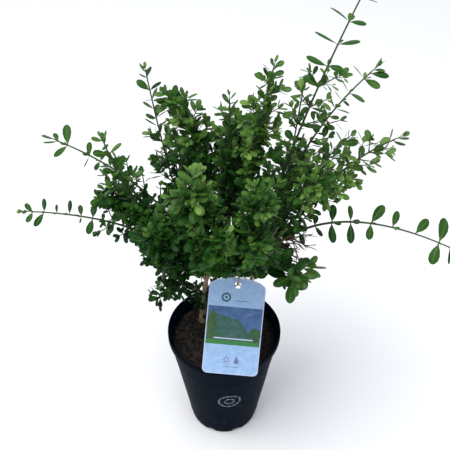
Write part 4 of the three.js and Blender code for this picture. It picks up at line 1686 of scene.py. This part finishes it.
def sprout(heap, leaves, stem, chance):
    """One sprout from the bark of a stem."""
    share = chance(0.06, 0.62)
    start, rise = stem(share), unit(stem(share + 0.02) - stem(share))
    turn, length = chance(0, 360), chance(14, 27)
    way = unit(lean(rise, sideways(rise, turn), chance(38, 62)))
    line = bow(start, start + way * length * 0.5 - UP * 1.5, start + way * length)
    if not has_room(np.array([line(0.6), line(1)])):
        return
    put_twig(heap, line, SPROUT_RADII, 5, 5)
    for pair, (place, angle, size) in enumerate(SPROUT_PAIRS):
        for half_turn in (0, 180):
            quarter, grown_size = turn + 90 * pair + half_turn, size * chance(0.85, 1.15)
            leaf = leaf_at(1.2, line(place), way, quarter, angle, grown_size, chance(-15, 15))
            if has_room(leaf_corners(leaf)):
                # Only the three darkest tones: painted shade under the crown.
                leaves.append((*leaf, chance(0, 2.4), chance(0, 1)))


sprout_twigs, sprout_leaves = Heap(), []
for name, count in SPROUTS.items():
    for i in range(count):
        sprout(sprout_twigs, sprout_leaves, stem_lines[name], dice(SPROUT_KEY, len(name), i))
sprout_wood = sprout_twigs.build("sprout_twigs", [green_bark])
for piece in (sprout_wood, build_leaves("sprout_leaves", sprout_leaves)):
    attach(piece, "root")
print("leaves on sprouts:", len(sprout_leaves))

# %% [markdown]
# ## Dry twigs
#
# Low on the right, where no light comes through, a few fine twigs have died back and lost their leaves.
# They stand as a small brown tangle under the longest shoot. Dead wood is greyer and duller than live
# wood.

# %% Dry twigs
DRY_TWIGS = 17
DRY_RADIUS = 0.85
DRY_FORKS = 4


def wander(chance):
    """A small step in any direction."""
    return np.array([chance(-1, 1) for _ in range(3)])


def dry_twig(heap, start, way, length, radius, chance, forks):
    """A bare twig that wanders a little, with a few finer ones."""
    end = start + way * length
    line = bow(start, (start + end) / 2 + length * 0.16 * wander(chance), end)
    shares = np.linspace(0, 1, 6)
    heap.put(*tube(line(shares), [mixed((radius, radius * 0.5), share) for share in shares], 5))
    for _ in range(forks):
        aside = unit(way + 0.9 * wander(chance))
        dry_twig(heap, line(chance(0.3, 0.85)), aside, length * chance(0.3, 0.5), radius * 0.7, chance, 0)


dry_heap = Heap()
for i in range(DRY_TWIGS):
    chance = dice(DRY_KEY, i)
    share = chance(0.5, 1.0)
    way = unit(np.array([chance(0.1, 1.0), chance(-0.8, 0.2), chance(-0.7, 0.5)]))
    root = shoot_named["right_low"]["bough"](share)
    dry_twig(dry_heap, root, way, chance(18, 36), DRY_RADIUS, chance, DRY_FORKS)
dry = dry_heap.build("dry_twigs", [bark("dry boxwood twig", "#4a3632", "#8d7668", 0.5, 0.06)])
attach(dry, "root")
print("dry twigs:", DRY_TWIGS)

# %% [markdown]
# ## Twine
#
# The label hangs from a loop of natural jute twine: two strands laid round each other. Each strand is a
# tube that winds round the loop's circle, and the loop is closed with a small knot that sits above the
# card. Jute is dull and hairy, so the material is rough, and a fine noise roughens it further.

# %% Circle of the twine loop
TIE_SLACK = 3.3
HOOK_SHARE = 0.3

hole = on_label(0, LABEL_LENGTH - HOLE_DROP, LABEL_THICKNESS / 2)
hook = shoot_named["right_foot"]["bough"](HOOK_SHARE)
tie_radius = (np.linalg.norm(hook - hole) + TIE_SLACK) / 2
tie_reach = unit(hook - hole)
tie_axle = unit(np.array([1, 0, 0]) - tie_reach * tie_reach[0])
tie_beside = np.cross(tie_axle, tie_reach)
tie_centre = hole + tie_reach * tie_radius
print("twine loop across in mm:", round(2 * tie_radius, 1))

# %% Strands and knot
STRAND_RADIUS = 0.5
STRAND_OFFSET = 0.42
STRAND_PITCH = 4.2
STRAND_SIDES = 6
STRAND_POINTS = 241
KNOT_RADIUS = 1.1
LOOSE_ENDS = (7, 10)


def strand(first_turn):
    """The line of one strand, which winds round the loop's circle."""
    winds = round(2 * math.pi * tie_radius / STRAND_PITCH)
    line = []
    for share in np.linspace(0, 1, STRAND_POINTS):
        round_loop, round_twine = 2 * math.pi * share, 2 * math.pi * winds * share + first_turn
        out = math.cos(round_loop) * tie_reach + math.sin(round_loop) * tie_beside
        aside = STRAND_OFFSET * math.sin(round_twine) * tie_axle
        line.append(tie_centre + (tie_radius + STRAND_OFFSET * math.cos(round_twine)) * out + aside)
    return line


def put_strand(heap, line):
    """Skins a line as one strand of jute."""
    heap.put(*tube(line, [STRAND_RADIUS] * len(line), STRAND_SIDES))


twine = Heap()
put_strand(twine, strand(0))
put_strand(twine, strand(math.pi))
knot = tie_centre + tie_radius * unit(-0.72 * tie_reach - 0.7 * tie_beside)
for lay in np.linspace(0, 2 * math.pi, 4)[:-1]:
    beside = unit(tie_reach + math.cos(lay) * tie_beside)
    turns = [(KNOT_RADIUS * math.cos(t), KNOT_RADIUS * math.sin(t)) for t in np.linspace(0, 2 * math.pi, 17)]
    put_strand(twine, [knot + out * tie_axle + up * beside for out, up in turns])
for end, far in enumerate(LOOSE_ENDS):
    way = unit(np.array([0.5 - end, -0.75, -0.25]))
    put_strand(twine, [knot + share * far * way - UP * 1.4 * share**2 for share in np.linspace(0, 1, 9)])
tie = twine.build("label_twine", [mulch("jute twine", "#8a7148", "#c4a97a", 0.6, 0.9)])
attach(tie, "root")
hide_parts("label_tie")
print("points on the twine:", len(tie.data.vertices))
